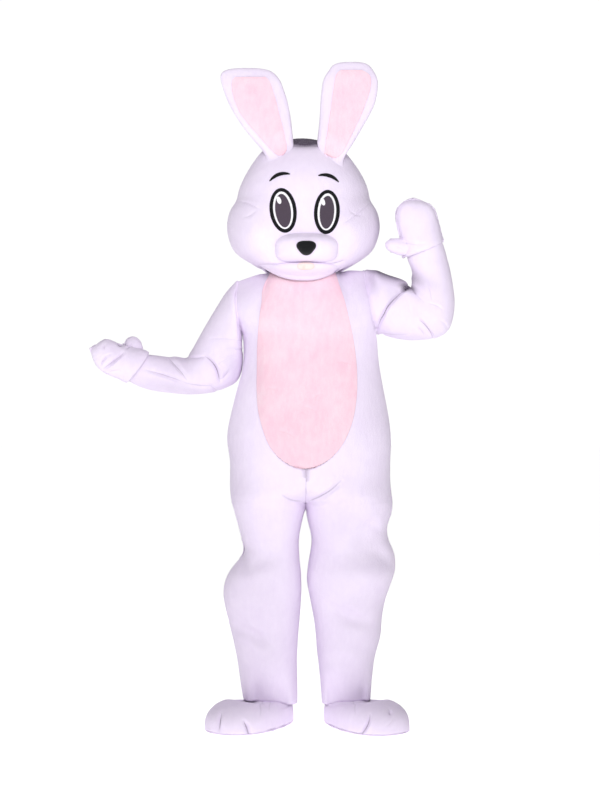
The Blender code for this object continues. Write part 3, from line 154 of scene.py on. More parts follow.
def in_metres(kind, lengths, table):
    """A table with its rows as what they are. The first numbers in each are lengths in millimetres."""
    made = {}
    for name, rows in table.items():
        made[name] = [kind(*(v / 1000 for v in row[:lengths]), *row[lengths:]) for row in rows]
    return made


# Creases: x and z are their ends as seen from the front, z above the floor, and bow bends one sideways.
# A depth below 0 is a trough, and lip raises the cloth beside it: above 0 on its left as it runs, below
# 0 on its right. All are in millimetres here.
Crease = namedtuple("Crease", "x1 z1 x2 z2 bow width depth lip")
FRONT_CREASES = in_metres(Crease, 8, {
    "suit_front_left": [
        (10, 668, 102, 730, -8, 7, -7, -5), (138, 530, 225, 605, 14, 24, -10, 5),
        (170, 600, 230, 575, 4, 14, -4, 2), (85, 356, 165, 316, -8, 18, -9, 5),
        (190, 515, 255, 470, 10, 16, -3, 3), (60, 200, 150, 182, 8, 16, -2, 2),
    ],
    "suit_front_right": [
        (-12, 668, -70, 690, 8, 11, -3.5, 3), (-188, 520, -160, 452, -10, 13, -7, 5),
        (-205, 296, -102, 234, 8, 14, -10, -6),
    ],
    "sleeve_right": [
        (-352, 1092, -297, 1095, -3, 5, -4, 1.5), (-300, 1095, -256, 1018, 12, 5.5, -11, 4),
        (-258, 1024, -225, 1058, -4, 5, -3.5, 1.5), (-410, 1094, -352, 1022, 4, 6, -5.5, 2.5),
        (-472, 1054, -362, 1018, 2, 5, -5, -2), (-366, 1019, -280, 1008, -6, 6, -4, -2),
        (-284, 1008, -262, 992, -2, 5, -3, -1), (-285, 1146, -190, 1140, 3, 4.5, -2, 1),
        (-240, 1118, -187, 1112, 3, 4.5, -2, 1), (-262, 1070, -200, 1098, 4, 4.5, -2.2, 1),
        (-335, 1060, -300, 1020, 6, 14, -3, 1), (-226, 1190, -212, 1040, 0, 30, 5, 0),
    ],
    "sleeve_left": [
        (296, 1296, 212, 1176, -12, 5.5, -12, 4), (304, 1304, 282, 1288, 2, 8, -9, 2),
        (334, 1200, 378, 1150, 3, 5, -7, 5), (330, 1180, 350, 1158, 2, 4.5, -2.2, 1.5),
        (352, 1318, 370, 1256, 3, 5, -2.6, 1.5), (362, 1248, 400, 1232, 3, 4.5, -2.4, 1.2),
        (312, 1360, 342, 1316, -6, 14, -3.5, 2), (298, 1262, 314, 1215, 4, 13, -5, 2),
        (220, 1164, 300, 1160, -6, 5, -2.2, 1), (325, 1240, 345, 1190, -8, 13, -3, 1.5),
        (392, 1200, 420, 1176, 4, 5, -1.6, 1),
    ],
    "mitt_right_palm": [
        (-537, 1105, -594, 1058, 3, 4.5, -7, 3), (-595, 1129, -594, 1115.5, 1, 3.4, -3.5, 1.5),
        (-583, 1093, -604, 1066, -3, 3.4, -4, 2), (-581, 1047, -543, 1053, 1, 3.4, -2.5, 1.5),
        (-518, 1135, -530, 1117, 2, 3.4, -2.2, 1), (-557, 1134.5, -541.5, 1125, 0, 4.5, -7, 1),
        (-600, 1085, -570, 1100, 2, 3.4, -1.6, 1),
    ],
    "mitt_left_palm": [(280, 1431, 354, 1419.4, -4, 6, -1.6, 1), (262, 1418, 290, 1402, 2, 4.5, -1.4, 0.8)],
    "foot_right_upper": [
        (-244.5, 61, -250.3, 15, -3, 5.2, -10, 2), (-178, 42, -163, 0, 3, 5.5, -11, 2),
        (-140, 88, -133, 50, 6, 8, -1.8, 1), (-115, 90, -106, 58, 4, 8, -1.4, 1),
    ],
    "foot_left_upper": [
        (184, 60, 158, 4, 3, 5.2, -10, 2), (241, 69, 244, 59, 0, 4, -7, 1),
        (250.8, 49, 230.7, 29, 3, 3.6, -1.4, 0.8), (150, 90, 144, 56, -5, 8, -1.6, 1),
    ],
    "belly_panel": [
        (-85, 875, -30, 855, 4, 10, -1.2, 1), (-35, 905, -15, 868, 3, 14, -1.6, 1.2),
        (-10, 945, 30, 930, 3, 6, -0.8, 0.6), (-118, 1000, -80, 992, 2, 7, -0.8, 0.6),
        (20, 965, 45, 985, 2, 6, -0.6, 0.5), (90, 1075, 128, 1070, 2, 8, -0.8, 0.6),
    ],
    "head_face": [
        (-198, 1552, -140, 1522, 3, 4.2, -2.4, 1.2), (-146, 1517, -182, 1500, 5, 3.8, -1.5, 0.8),
        (188, 1546, 111, 1478, 4, 4.2, -2.6, -1.2), (161, 1505, 131, 1513, 3, 3.6, -1.3, 0.6),
        (-140, 1364, -76, 1359, -2, 4, -4, 1.5), (66, 1360, 113, 1373, -3, 4, -4, 1.5),
    ],
})
BACK_CREASES = in_metres(Crease, 8, {
    "suit_back_left": [
        (15, 665, 120, 640, -12, 10, -8, 5), (60, 462, 190, 478, 12, 18, -7, 5),
        (80, 435, 170, 420, 8, 12, -4, 3), (30, 985, 170, 960, 10, 16, -4, 3),
        (170, 1130, 120, 1230, 8, 14, -4, 3), (90, 310, 190, 285, 10, 16, -5, 3),
    ],
    "suit_back_right": [
        (-15, 660, -110, 635, 12, 10, -8, 5), (-50, 478, -160, 490, -12, 18, -7, 5),
        (-70, 445, -150, 430, -8, 12, -4, 3), (-30, 935, -160, 968, -10, 16, -4, 3),
        (-165, 1120, -120, 1210, -8, 14, -4, 3), (-80, 265, -180, 300, -10, 16, -5, 3),
    ],
    "sleeve_right": [
        (-345, 1090, -285, 1045, 8, 9, -6, 4), (-400, 1080, -350, 1020, 6, 9, -5, 4),
        (-270, 1110, -210, 1085, 6, 10, -4, 3),
    ],
    "sleeve_left": [
        (310, 1275, 360, 1225, 8, 9, -6, 4), (315, 1310, 370, 1300, 6, 9, -5, 4),
        (260, 1290, 250, 1200, 8, 10, -5, 3),
    ],
})

# Painted shade: places that lie in shade, painted darker into the cloth's colour: middle and half sizes in
# millimetres as seen from the front, tilt in degrees, and how dark
Shade = namedtuple("Shade", "x z half_width half_height tilt dark")
SHADES = in_metres(Shade, 4, {
    "sleeve_left": [
        (302, 1299, 24, 12, -22, 1.0), (240, 1350, 90, 20, -20, 1.05), (198, 1315, 14, 40, 15, 0.22),
        (262, 1272, 30, 22, 40, 0.12),
    ],
    "sleeve_right": [
        (-400, 1005, 100, 20, -8, 0.16), (-390, 1060, 70, 50, -20, 0.07), (-222, 1075, 20, 50, 0, 0.12),
    ],
    # painted shade on the crown between the ears and down the edge of the cheek towards +X
    "head_face": [(-2, 1733, 52, 21, 0, 1.9), (230, 1490, 17, 85, 0, 0.48)],
    # painted shade on the belly panel, the legs, the hips and a foot
    "belly_panel": [(-140, 1000, 30, 250, 0, 0.06), (-20, 790, 120, 110, 0, 0.05)],
    "suit_front_right": [(-150, 340, 110, 240, 0, 0.12), (-215, 740, 60, 150, 0, 0.1)],
    "suit_front_left": [(160, 340, 110, 240, 0, 0.09), (90, 600, 110, 80, 0, 0.06)],
    "foot_right_upper": [(-230, 50, 70, 26, 0, 0.04)],
})

# What each piece was cut to, in metres and square metres, and how it is held
Cut = namedtuple("Cut", "width length area held rests_on", defaults=("stretched", ()))

# Seams: how wide and deep they draw the cloth in, and how dark the painted shade along their groove is
Seam = namedtuple("Seam", "width depth dark")
SUIT_SEAM = Seam(0.0045, 0.0018, 0.2)
HEAD_SEAM = Seam(0.004, 0.001, 0.1)
MITT_SEAM = Seam(0.003, 0.001, 0.15)

# Pieces on the face: middle and half sizes as seen from the front, tilt in degrees
Oval = namedtuple("Oval", "x z half_width half_height tilt", defaults=(0,))
MUZZLE = Oval(0.002, 1.407, 0.091, 0.0415)
MUZZLE_OUT = 0.04
MUZZLE_ROUNDNESS = 2.6
FACE_DEPTH = -0.12
CHIN = Oval(-0.005, 1.345, 0.104, 0.0195)
CHIN_OUT = 0.024
CHIN_BOW = -0.005
CHIN_GATHER = 0.004
MOUTH_FLATNESS = 4.0
TOOTH = Oval(0.0, 1.3525, 0.026, 0.011)
TOOTH_OUT = 0.006
TOOTH_EDGE = 0.0025
NOSE = Oval(0.001, 1.4035, 0.0275, 0.0205)
NOSE_OUT = 0.016
NOSE_EDGE = 0.003
NOSE_CORNERS = 0.1
EYES = {"left": Oval(0.061, 1.51, 0.0375, 0.065, -4), "right": Oval(-0.066, 1.5145, 0.039, 0.066, 8)}
EYE_RIM = 0.0105
EYE_WHITE = 0.006
PUPIL_DROP = 0.0015
GLINT = Oval(-0.012, 0.029, 0.0062, 0.0115, 20)
BROWS = {"left": Oval(0.0686, 1.618, 0.032, 0.0055, -16), "right": Oval(-0.079, 1.6215, 0.032, 0.0055, 18)}
BROW_BOW = 0.01
BROW_OUT = 0.003
BROW_EDGE = 0.001
EYE_SHEET = 0.0012
EYE_GAP = 0.0006
LIFT = 0.0007
PAD_EDGE = 0.0015


# Meshes


def whole(tris):
    """Which triangles have three different corners."""
    return (tris != tris[:, [1, 2, 0]]).all(axis=1)


def weld(points, tris, digits):
    """Joins points that agree to some digits, and drops flattened triangles."""
    places, index = np.unique(np.round(points, digits), axis=0, return_inverse=True)
    tris = index.reshape(-1)[tris]
    return places, tris[whole(tris)]


def node_mesh(names):
    """Welded points and triangles of some CAD nodes, and which node each triangle is from."""
    parts, count = [], 0
    for tag, name in enumerate(names):
        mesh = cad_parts[name].data
        mesh.calc_loop_triangles()
        own = np.array([v.co for v in mesh.vertices])
        own, corners = weld(own, np.array([t.vertices[:] for t in mesh.loop_triangles]), 5)
        parts.append((own, corners + count, np.full(len(corners), tag)))
        count += len(own)
    return [np.concatenate(arrays) for arrays in zip(*parts)]


def edge_table(tris):
    """Each edge's points, and the triangles on its two sides, -1 where there is none."""
    every = np.sort(tris[:, [0, 1, 1, 2, 2, 0]].reshape(-1, 2), axis=1)
    edges, which = np.unique(every, axis=0, return_inverse=True)
    which = which.reshape(-1)
    sides = np.full((len(edges), 2), -1)
    owner = np.repeat(np.arange(len(tris)), 3)
    sides[which, 0] = owner
    sides[which[::-1], 1] = owner[::-1]
    sides[sides[:, 0] == sides[:, 1], 1] = -1
    return edges, sides, which.reshape(-1, 3)


def rim_of(tris):
    """The points on a mesh's open edges."""
    edges, sides, _ = edge_table(tris)
    return np.unique(edges[sides[:, 1] < 0])


def owners(points, tris, tags):
    """The panel that each point is in."""
    owner = np.zeros(len(points), int)
    owner[tris] = tags[:, None]
    return owner


def point_tree(points, chosen):
    """A search tree of some of the points."""
    tree = KDTree(len(chosen))
    for k in chosen:
        tree.insert(Vector(points[k]), int(k))
    tree.balance()
    return tree


def skin_tree(points, tris):
    """A search tree of triangles."""
    return BVHTree.FromPolygons([Vector(p) for p in points], tris.tolist())


def tree_of(piece):
    """A search tree of an object's faces."""
    mesh = piece.data
    return BVHTree.FromPolygons([v.co for v in mesh.vertices], [p.vertices[:] for p in mesh.polygons])


def face_normals(points, tris):
    """Normals of triangles, as long as twice their area."""
    a, b, c = points[tris[:, 0]], points[tris[:, 1]], points[tris[:, 2]]
    return np.cross(b - a, c - a)


def unit(vectors):
    """Vectors at length 1."""
    return vectors / np.maximum(np.linalg.norm(vectors, axis=-1, keepdims=True), 1e-12)


def point_normals(points, tris):
    """Normals at the points of a mesh."""
    total = np.zeros_like(points)
    np.add.at(total, tris, face_normals(points, tris)[:, None])
    return unit(total)


def patches(points, tris, sharp):
    """A number for each triangle: the smooth patch that it is in."""
    normals = unit(face_normals(points, tris))
    _, sides, _ = edge_table(tris)
    pair = sides[sides[:, 1] >= 0]
    pair = pair[np.sum(normals[pair[:, 0]] * normals[pair[:, 1]], axis=1) > sharp]
    label = np.arange(len(tris))
    while True:
        new = label.copy()
        np.minimum.at(new, pair, label[pair].min(axis=1)[:, None])
        new = new[new]
        if (new == label).all():
            return label
        label = new


def compact(points, tris):
    """Drops the points that no triangle uses."""
    used, index = np.unique(tris, return_inverse=True)
    return points[used], index.reshape(tris.shape)


def outer_skin(names, wall, reach=SEAM_REACH, front_only=False, sharp=SHARP):
    """The outer surface of hollow nodes, sewn together at the seams: points, triangles and tags.

    front_only keeps just the front of a flat piece, whose back would seem to be an outer side too."""
    points, tris, tags = node_mesh(names)
    label = patches(points, tris, sharp)
    tree = skin_tree(points, tris)
    normals = face_normals(points, tris)
    areas = np.linalg.norm(normals, axis=1) / 2
    edges, sides, _ = edge_table(tris)
    lengths = np.linalg.norm(points[edges[:, 0]] - points[edges[:, 1]], axis=1)
    keep = np.zeros(len(tris), bool)
    for patch in np.unique(label):
        own = label == patch
        area = areas[own].sum()
        rim = lengths[own[sides[:, 0]] != (own[sides[:, 1]] & (sides[:, 1] >= 0))].sum()
        if 2 * area < EDGE_STRIP * wall * rim or (front_only and normals[own, 1].sum() > 0):
            continue
        centres = points[tris[own]].mean(axis=1)
        ways = [(Vector(c + out * 1e-4), Vector(out)) for c, out in zip(centres, unit(normals[own]))]
        hidden = areas[own][[tree.ray_cast(*way)[0] is not None for way in ways]].sum()
        middle = (centres * areas[own, None]).sum(axis=0) / area
        outwards = (normals[own] * (centres - middle)).sum() > 0
        keep |= own & (hidden < HIDDEN_SHARE * area) & (outwards | front_only)
    points, tris = compact(points, tris[keep])
    return sew(*share_rims(points, tris, tags[keep], reach), reach)


def share_rims(points, tris, tags, reach):
    """Gives each open edge a point beside every point of another panel's edge along it."""
    edges, sides, _ = edge_table(tris)
    open_edge = sides[:, 1] < 0
    owner = owners(points, tris, tags)
    tree = point_tree(points, np.unique(edges[open_edge]))
    points, made, drop = list(points), [], set()
    for (a, b), tri in zip(edges[open_edge], sides[open_edge, 0]):
        start, run = points[a], points[b] - points[a]
        length = np.linalg.norm(run)
        shares = []
        for place, other, _ in tree.find_range(Vector(start + run / 2), length / 2 + reach):
            share = float((np.array(place) - start) @ run) / length**2
            away = np.linalg.norm(start + run * share - np.array(place))
            ends = min(share, 1 - share) * length
            if owner[other] != owner[a] and away < reach and ends > END_SHARE * reach:
                shares.append(share)
        if not shares or tri in drop:
            continue
        drop.add(tri)
        turn = next(k for k in range(3) if tris[tri, k] not in (a, b))
        third, first, last = np.roll(tris[tri], -turn)
        line = [first, *range(len(points), len(points) + len(shares)), last]
        points += [start + run * share for share in sorted(shares, reverse=bool(first == b))]
        made += [(third, p, q, tags[tri]) for p, q in zip(line, line[1:])]
    rows = np.delete(np.column_stack([tris, tags]), list(drop), axis=0)
    rows = np.concatenate([rows, np.array(made, int).reshape(-1, 4)])
    return np.array(points), rows[:, :3], rows[:, 3]


def sew(points, tris, tags, reach):
    """Joins open edges of different panels that are closer than reach."""
    rim = rim_of(tris)
    tree = point_tree(points, rim)
    owner = owners(points, tris, tags)
    target = np.arange(len(points))
    for k in rim:
        for _, other, _ in tree.find_range(Vector(points[k]), reach):
            if owner[other] != owner[k]:
                low = min(target[k], target[other])
                target[k] = target[other] = low
    while (target[target] != target).any():
        target = target[target]
    sums, counts = np.zeros_like(points), np.zeros(len(points))
    np.add.at(sums, target, points)
    np.add.at(counts, target, 1)
    tris = target[tris]
    keep = whole(tris)
    return *compact(sums / np.maximum(counts, 1)[:, None], tris[keep]), tags[keep]


def rim_corners(points, edges, sides):
    """Points where an open edge turns sharply, which stay where they are."""
    rim = edges[sides[:, 1] < 0]
    total = np.zeros_like(points)
    for a, b in ((0, 1), (1, 0)):
        np.add.at(total, rim[:, a], unit(points[rim[:, b]] - points[rim[:, a]]))
    count = np.bincount(rim.ravel(), minlength=len(points))
    return (count > 0) & ((count != 2) | (np.linalg.norm(total, axis=1) > RIM_TURN))


def neighbour_sums(points, edges):
    """The sum of the points joined to each point."""
    total = np.zeros_like(points)
    for a, b in ((0, 1), (1, 0)):
        np.add.at(total, edges[:, a], points[edges[:, b]])
    return total


def loop_rule(points, edges, sides, corners):
    """Where Loop's subdivision moves the points that are there already."""
    count = len(points)
    valence = np.bincount(edges.ravel(), minlength=count)
    beta = np.where(valence > 3, 3 / (8 * np.maximum(valence, 1)), 3 / 16)
    moved = points * (1 - valence * beta)[:, None] + neighbour_sums(points, edges) * beta[:, None]
    rim = edges[sides[:, 1] < 0]
    on_rim = np.bincount(rim.ravel(), minlength=count) > 0
    moved[on_rim] = (0.75 * points + 0.125 * neighbour_sums(points, rim))[on_rim]
    moved[corners] = points[corners]
    return moved


def in_four(a, b, c, ab, bc, ca):
    """A triangle in four, from its corners and the middles of its edges."""
    return (a, ab, ca), (ab, b, bc), (ca, bc, c), (ab, bc, ca)


def refine(points, tris, tags, times=2):
    """Smooth subdivision of a mesh whose surface still passes through its points."""
    edges, sides, _ = edge_table(tris)
    corners = rim_corners(points, edges, sides)
    start = points
    for _ in range(3):
        start = start + points - loop_rule(start, edges, sides, corners)
    points = start
    for _ in range(times):
        edges, sides, of_tri = edge_table(tris)
        corners = np.concatenate([corners, np.zeros(len(points) - len(corners), bool)])
        ends = points[edges].sum(axis=1)
        middle = ends / 2
        inside = sides[:, 1] >= 0
        across = points[tris[sides]].sum(axis=2) - ends[:, None]
        middle[inside] = 0.375 * ends[inside] + 0.125 * across[inside].sum(axis=1)
        count = len(points)
        points = np.concatenate([loop_rule(points, edges, sides, corners), middle])
        tris = np.concatenate([np.stack(t, axis=1) for t in in_four(*tris.T, *(of_tri + count).T)])
        tags = np.tile(tags, 4)
    return points, tris, tags


def split_near(points, tris, tags, near):
    """Divides once more the long edges between points that are marked as near."""
    edges, _, of_tri = edge_table(tris)
    long = np.linalg.norm(points[edges[:, 0]] - points[edges[:, 1]], axis=1) > LEAST_EDGE
    cut = near[edges].all(axis=1) & long
    number = np.where(cut, np.cumsum(cut) - 1 + len(points), -1)
    points = np.concatenate([points, points[edges[cut]].sum(axis=1) / 2])
    made, new_tags = [], []
    for (a, b, c), mids, tag in zip(tris, number[of_tri], tags):
        ab, bc, ca = mids
        if (mids >= 0).all():
            parts = in_four(a, b, c, ab, bc, ca)
        elif (mids < 0).all():
            parts = [(a, b, c)]
        else:
            ring = [p for p in (a, ab, b, bc, c, ca) if p >= 0]
            first = ring.index(next(p for p in mids if p >= 0))
            ring = ring[first:] + ring[:first]
            parts = [(ring[0], p, q) for p, q in zip(ring[1:], ring[2:])]
        made += parts
        new_tags += [tag] * len(parts)
    return points, np.array(made), np.array(new_tags)


# Cloth


def bell(away, width):
    """A bell curve, 1 in the middle."""
    return np.exp(-((away / width) ** 2))


def boxed(places, low, high):
    """Which places are in a box."""
    return ((places >= low) & (places <= high)).all(axis=1)


def add_crease(points, facing, crease, height, dark, close):
    """Adds a crease to the points' heights and painted shade, and to how close a line is, in its widths."""
    t = np.linspace(0, 1, CREASE_STEPS)[:, None]
    start = np.array([crease.x1, crease.z1 - HOLD_HEIGHT])
    run = np.array([crease.x2, crease.z2 - HOLD_HEIGHT]) - start
    side = np.array([-run[1], run[0]]) / np.linalg.norm(run)
    path = start + run * t + side * crease.bow * 4 * t * (1 - t)
    reach = CREASE_REACH * crease.width
    flat = points[:, [0, 2]]
    near = np.flatnonzero(facing & boxed(flat, path.min(axis=0) - reach, path.max(axis=0) + reach))
    if len(near) == 0:
        return
    runs = np.diff(path, axis=0)
    away = flat[near][:, None] - path[:-1]
    along = np.clip(np.sum(away * runs, axis=2) / np.sum(runs * runs, axis=1), 0, 1)
    offset = away - along[..., None] * runs
    distance = np.linalg.norm(offset, axis=2)
    row, best = np.arange(len(near)), distance.argmin(axis=1)
    run, offset, distance = runs[best], offset[row, best], distance[row, best]
    across = np.where(run[:, 0] * offset[:, 1] - run[:, 1] * offset[:, 0] < 0, -1, 1) * distance
    place = (best + along[row, best]) / len(runs)
    taper = np.sin(np.pi * np.clip(place, 0.02, 0.98)) ** 0.5
    side = math.copysign(1.0, crease.lip)
    ridge = abs(crease.lip) * bell(side * across - RIDGE_PLACE * crease.width, RIDGE_WIDTH * crease.width)
    height[near] += (crease.depth * bell(across, crease.width) + ridge) * taper
    # A narrow crease gets painted shade along its bottom.
    if crease.width < NARROW:
        line = min(1.0, -crease.depth / DARKEST) * bell(across, LINE_SHARE * crease.width) * taper
        dark[near] = np.maximum(dark[near], line)
        close[near] = np.minimum(close[near], distance / crease.width)


def shade_at(points, facing, shade):
    """Painted shade of a place that lies in shade, as seen from the front."""
    tilt = math.radians(shade.tilt)
    x, z = points[:, 0] - shade.x, points[:, 2] - (shade.z - HOLD_HEIGHT)
    u = (x * math.cos(tilt) + z * math.sin(tilt)) / shade.half_width
    v = (z * math.cos(tilt) - x * math.sin(tilt)) / shade.half_height
    return np.where(facing, shade.dark * np.exp(-(u * u + v * v)), 0.0)


def crease_sums(names, points, tris):
    """Normals, the height and painted shade that creases and shaded places give the points, and how close a
    narrow crease is.
    """
    normals = point_normals(points, tris)
    front, back = normals[:, 1] < SIDE_ON, normals[:, 1] > -SIDE_ON
    height, dark, close = np.zeros(len(points)), np.zeros(len(points)), np.full(len(points), NO_CREASE)
    for name in names:
        for crease in FRONT_CREASES.get(name, []):
            add_crease(points, front, crease, height, dark, close)
        for crease in BACK_CREASES.get(name, []):
            add_crease(points, back, crease, height, dark, close)
        for shade in SHADES.get(name, []):
            dark = np.maximum(dark, shade_at(points, front, shade))
    return normals, height, np.minimum(dark, MOST_SHADE), close


def ripple(points, scale, depth, seed):
    """Soft uneven waves, from a few crossing sines."""
    rng = np.random.default_rng(seed)
    total = np.zeros(len(points))
    for _ in range(WAVE_COUNT):
        way = unit(rng.normal(size=3)) * 2 * np.pi / (scale * rng.uniform(0.7, 1.6))
        total += np.sin(points @ way + rng.uniform(0, 6.28)) * rng.uniform(0.5, 1.0)
    return total * depth / (WAVE_COUNT / 2)


def seam_points(points, tris, tags):
    """Points on a seam between two panels, and the higher number of the panels there."""
    low, high = np.full(len(points), NO_PANEL), np.full(len(points), -1)
    np.minimum.at(low, tris, tags[:, None])
    np.maximum.at(high, tris, tags[:, None])
    chosen = np.flatnonzero(low != high)
    return chosen, high[chosen]


def near_points(points, chosen, reach):
    """Distance from each point to the nearest chosen one, at most reach."""
    tree = point_tree(points, chosen)
    found = np.full(len(points), reach)
    low, high = points[chosen].min(axis=0) - reach, points[chosen].max(axis=0) + reach
    for k in np.flatnonzero(boxed(points, low, high)):
        found[k] = min(reach, tree.find(Vector(points[k]))[2])
    return found


def shape_cloth(names, points, tris, tags, waves, seam, faint_from=NO_PANEL, hug=0.0):
    """Creases, seams and soft waves of a set of panels: the points, triangles, tags and painted shade.

    faint_from is the first panel whose seams are fainter, and hug draws the open edges in."""
    for widths, reach in FINER:
        close = crease_sums(names, points, tris)[3] < widths
        chosen, _ = seam_points(points, tris, tags)
        if len(chosen):
            close |= near_points(points, chosen, reach) < 0.95 * reach
        points, tris, tags = split_near(points, tris, tags, close)
    normals, height, dark, _ = crease_sums(names, points, tris)
    for wave in waves:
        height += ripple(points, *wave)
    chosen, panel = seam_points(points, tris, tags)
    for share, own in ((1.0, chosen[panel < faint_from]), (FAINT_SEAM, chosen[panel >= faint_from])):
        if len(own):
            far = near_points(points, own, SEAM_SPREAD)
            pucker = 1 + 0.5 * ripple(points, *SEAM_PUCKER)
            trough = bell(far, seam.width) * pucker
            ridge = SEAM_RIDGE_HEIGHT * bell(far - SEAM_RIDGE_PLACE * seam.width, seam.width)
            height += share * seam.depth * (ridge - trough)
            # painted shade along the seam's groove
            dark = np.maximum(dark, share * seam.dark * bell(far, LINE_SHARE * seam.width))
    if hug:
        height -= hug * (1 - near_points(points, rim_of(tris), HUG_REACH) / HUG_REACH) ** 2
    return points + normals * height[:, None], tris, tags, dark


def smooth_step(share):
    """A share from 0 to 1, eased at both ends."""
    return share * share * (3 - 2 * share)


def rest_hems(points, tris):
    """Lays the front of the leg hems on the feet."""
    rim = rim_of(tris)
    rim = rim[points[rim, 2] < HEM_TOP - HOLD_HEIGHT]
    feet = [tree_of(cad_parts[f"foot_{side}_upper"]) for side in SIDES]

    def gap(p, aim, reach):
        hits = [tree.ray_cast(Vector(p), aim, reach)[3] for tree in feet]
        return max([far - CLOTH for far in hits if far is not None] + [0.0])

    gaps = np.array([(gap(p, TOWARDS_BACK, HEM_GAP), -gap(p, DOWN, HEM_DROP)) for p in points[rim]])
    moved = points.copy()
    low = points[:, 2] < HEM_TOP + HEM_REACH - HOLD_HEIGHT
    front = point_normals(points, tris)[:, 1] < HEM_FRONT
    for k in np.flatnonzero(low & front):
        away = points[rim] - points[k]
        weight = np.exp(-((away / (HEM_BLEND, HEM_BLEND, HEM_REACH)) ** 2).sum(axis=1))
        height = max(0.0, 1 - abs(away[weight.argmax(), 2]) / HEM_REACH)
        moved[k, 1:] += weight @ gaps * smooth_step(height) / max(weight.sum(), 1e-9)
    return moved


# Objects


def link_new(name, data):
    """A new object in the scene."""
    made = bpy.data.objects.new(name, data)
    bpy.context.collection.objects.link(made)
    return made


def new_object(name, points, tris, material, dark=None):
    """A smooth-shaded mesh object. dark is the shade painted into its cloth at each point."""
    mesh = bpy.data.meshes.new(name)
    mesh.from_pydata(points.tolist(), [], tris.tolist())
    mesh.shade_smooth()
    # the painted shade is kept on the points for the cloth's material
    if dark is not None:
        mesh.attributes.new("painted_shade", "FLOAT", "POINT").data.foreach_set("value", dark.astype(np.float32))
    mesh.materials.append(material)
    return link_new(name, mesh)


def thicken(piece, thickness):
    """Gives a shell its cloth's thickness, inwards."""
    solid = piece.modifiers.new("thickness", "SOLIDIFY")
    solid.thickness = thickness
    solid.offset = -1
    solid.use_rim = True
    graph = bpy.context.evaluated_depsgraph_get()
    mesh = bpy.data.meshes.new_from_object(piece.evaluated_get(graph))
    piece.modifiers.clear()
    piece.data = mesh


def stand_for(piece, node):
    """Puts a piece in the place of a CAD node."""
    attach(piece, BODY)
    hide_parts(node)
    return piece


def split_panels(names, cloth, material, thickness):
    """One object for each panel of a cloth."""
    points, tris, tags, dark = cloth
    made = {}
    for tag, name in enumerate(names):
        own = tris[tags == tag]
        piece = new_object(f"{name}_cloth", *compact(points, own), material, dark[np.unique(own)])
        thicken(piece, thickness)
        made[name] = stand_for(piece, name)
    return made


def ring_tris(first, second, columns, flip=False):
    """Triangles between two rings of points, given by their first points."""
    tris = []
    for c in range(columns):
        d = (c + 1) % columns
        quad = [(first + c, second + c, second + d), (first + c, second + d, first + d)]
        tris += [t[::-1] for t in quad] if flip else quad
    return tris


# Head


def place_on(oval, u, v, bow):
    """x and z of a place on an oval, from its own two axes."""
    v = v - bow * (u / oval.half_width) ** 2
    tilt = math.radians(oval.tilt)
    x = oval.x + u * math.cos(tilt) - v * math.sin(tilt)
    z = oval.z + u * math.sin(tilt) + v * math.cos(tilt) - HOLD_HEIGHT
    return x, z


def depth_at(tree, x, z):
    """Depth of a surface behind a place seen from the front."""
    place = tree.ray_cast(Vector((x, -1.0, z)), TOWARDS_BACK)[0]
    if place is None:
        place = tree.find_nearest(Vector((x, FACE_DEPTH, z)))[0]
    return place.y


def sunk(points, tree, lift=0.0):
    """Flattens the foot of an ear, or of its lining that lies lift above it, onto the head."""
    moved = points.copy()
    for k, p in enumerate(points):
        place, normal, _, far = tree.find_nearest(Vector(p), EAR_REACH)
        if place is not None:
            far = max(0.0, far - lift)
            share = far / EAR_REACH
            drop = far * (1 - smooth_step(share)) + EAR_SINK * (1 - share) ** 6
            moved[k] -= np.array(normal) * drop * EAR_EASE
    return moved


def make_pad(name, oval, tree, lift, profile, material, rings, columns, outline=lambda turn: 1.0, bow=0.0):
    """A pad or sheet on the face, lift above what is behind it. profile gives its thickness."""
    turns = np.arange(columns) / columns * 2 * np.pi
    reach = np.array([outline(t) for t in turns])
    rim = np.column_stack([oval.half_width * np.cos(turns) * reach, oval.half_height * np.sin(turns) * reach])
    front, back = [], []
    for share in np.sin(np.linspace(np.pi / 2, 0, rings + 1))[:-1]:
        for u, v in rim * share:
            x, z = place_on(oval, u, v, bow)
            y = depth_at(tree, x, z) - lift
            front.append((x, y - profile(share, u / oval.half_width, v / oval.half_height), z))
            back.append((x, y, z))
    x, z = place_on(oval, 0.0, 0.0, bow)
    y = depth_at(tree, x, z) - lift
    count = rings * columns
    points = front + [(x, y - profile(0.0, 0.0, 0.0), z)] + back + [(x, y, z)]
    tris = []
    for layer, flip in ((0, False), (count + 1, True)):
        for r in range(rings - 1):
            tris += ring_tris(layer + r * columns, layer + (r + 1) * columns, columns, flip)
        last = layer + (rings - 1) * columns
        for c in range(columns):
            t = (last + c, layer + count, last + (c + 1) % columns)
            tris.append(t[::-1] if flip else t)
    tris += ring_tris(0, count + 1, columns, flip=True)
    return new_object(name, np.array(points), np.array(tris), material)


def box_outline(turn, below=MUZZLE_ROUNDNESS):
    """The outline of an oval on its way to a box. A high number for below flattens its lower half."""
    across, up = abs(math.cos(turn)), abs(math.sin(turn))
    power = MUZZLE_ROUNDNESS if math.sin(turn) > 0 else below
    return (across**power + up**power) ** (-1 / power)


def chin(share, across, up):
    """The profile of the padding below the mouth: full at its top, fading into the face."""
    steep = 0.5 + 0.5 * math.tanh(4 * up + 1)
    body = max(0.0, 1 - share**2.4) ** (0.5 * steep + 1.4 * (1 - steep))
    gather = CHIN_GATHER * math.exp(-((across / 0.07) ** 2)) * (0.5 + 0.5 * math.cos(across * 75 + up * 3))
    return CHIN_OUT * body * (1 - 0.5 * across * across) - gather * (1 - share**2)


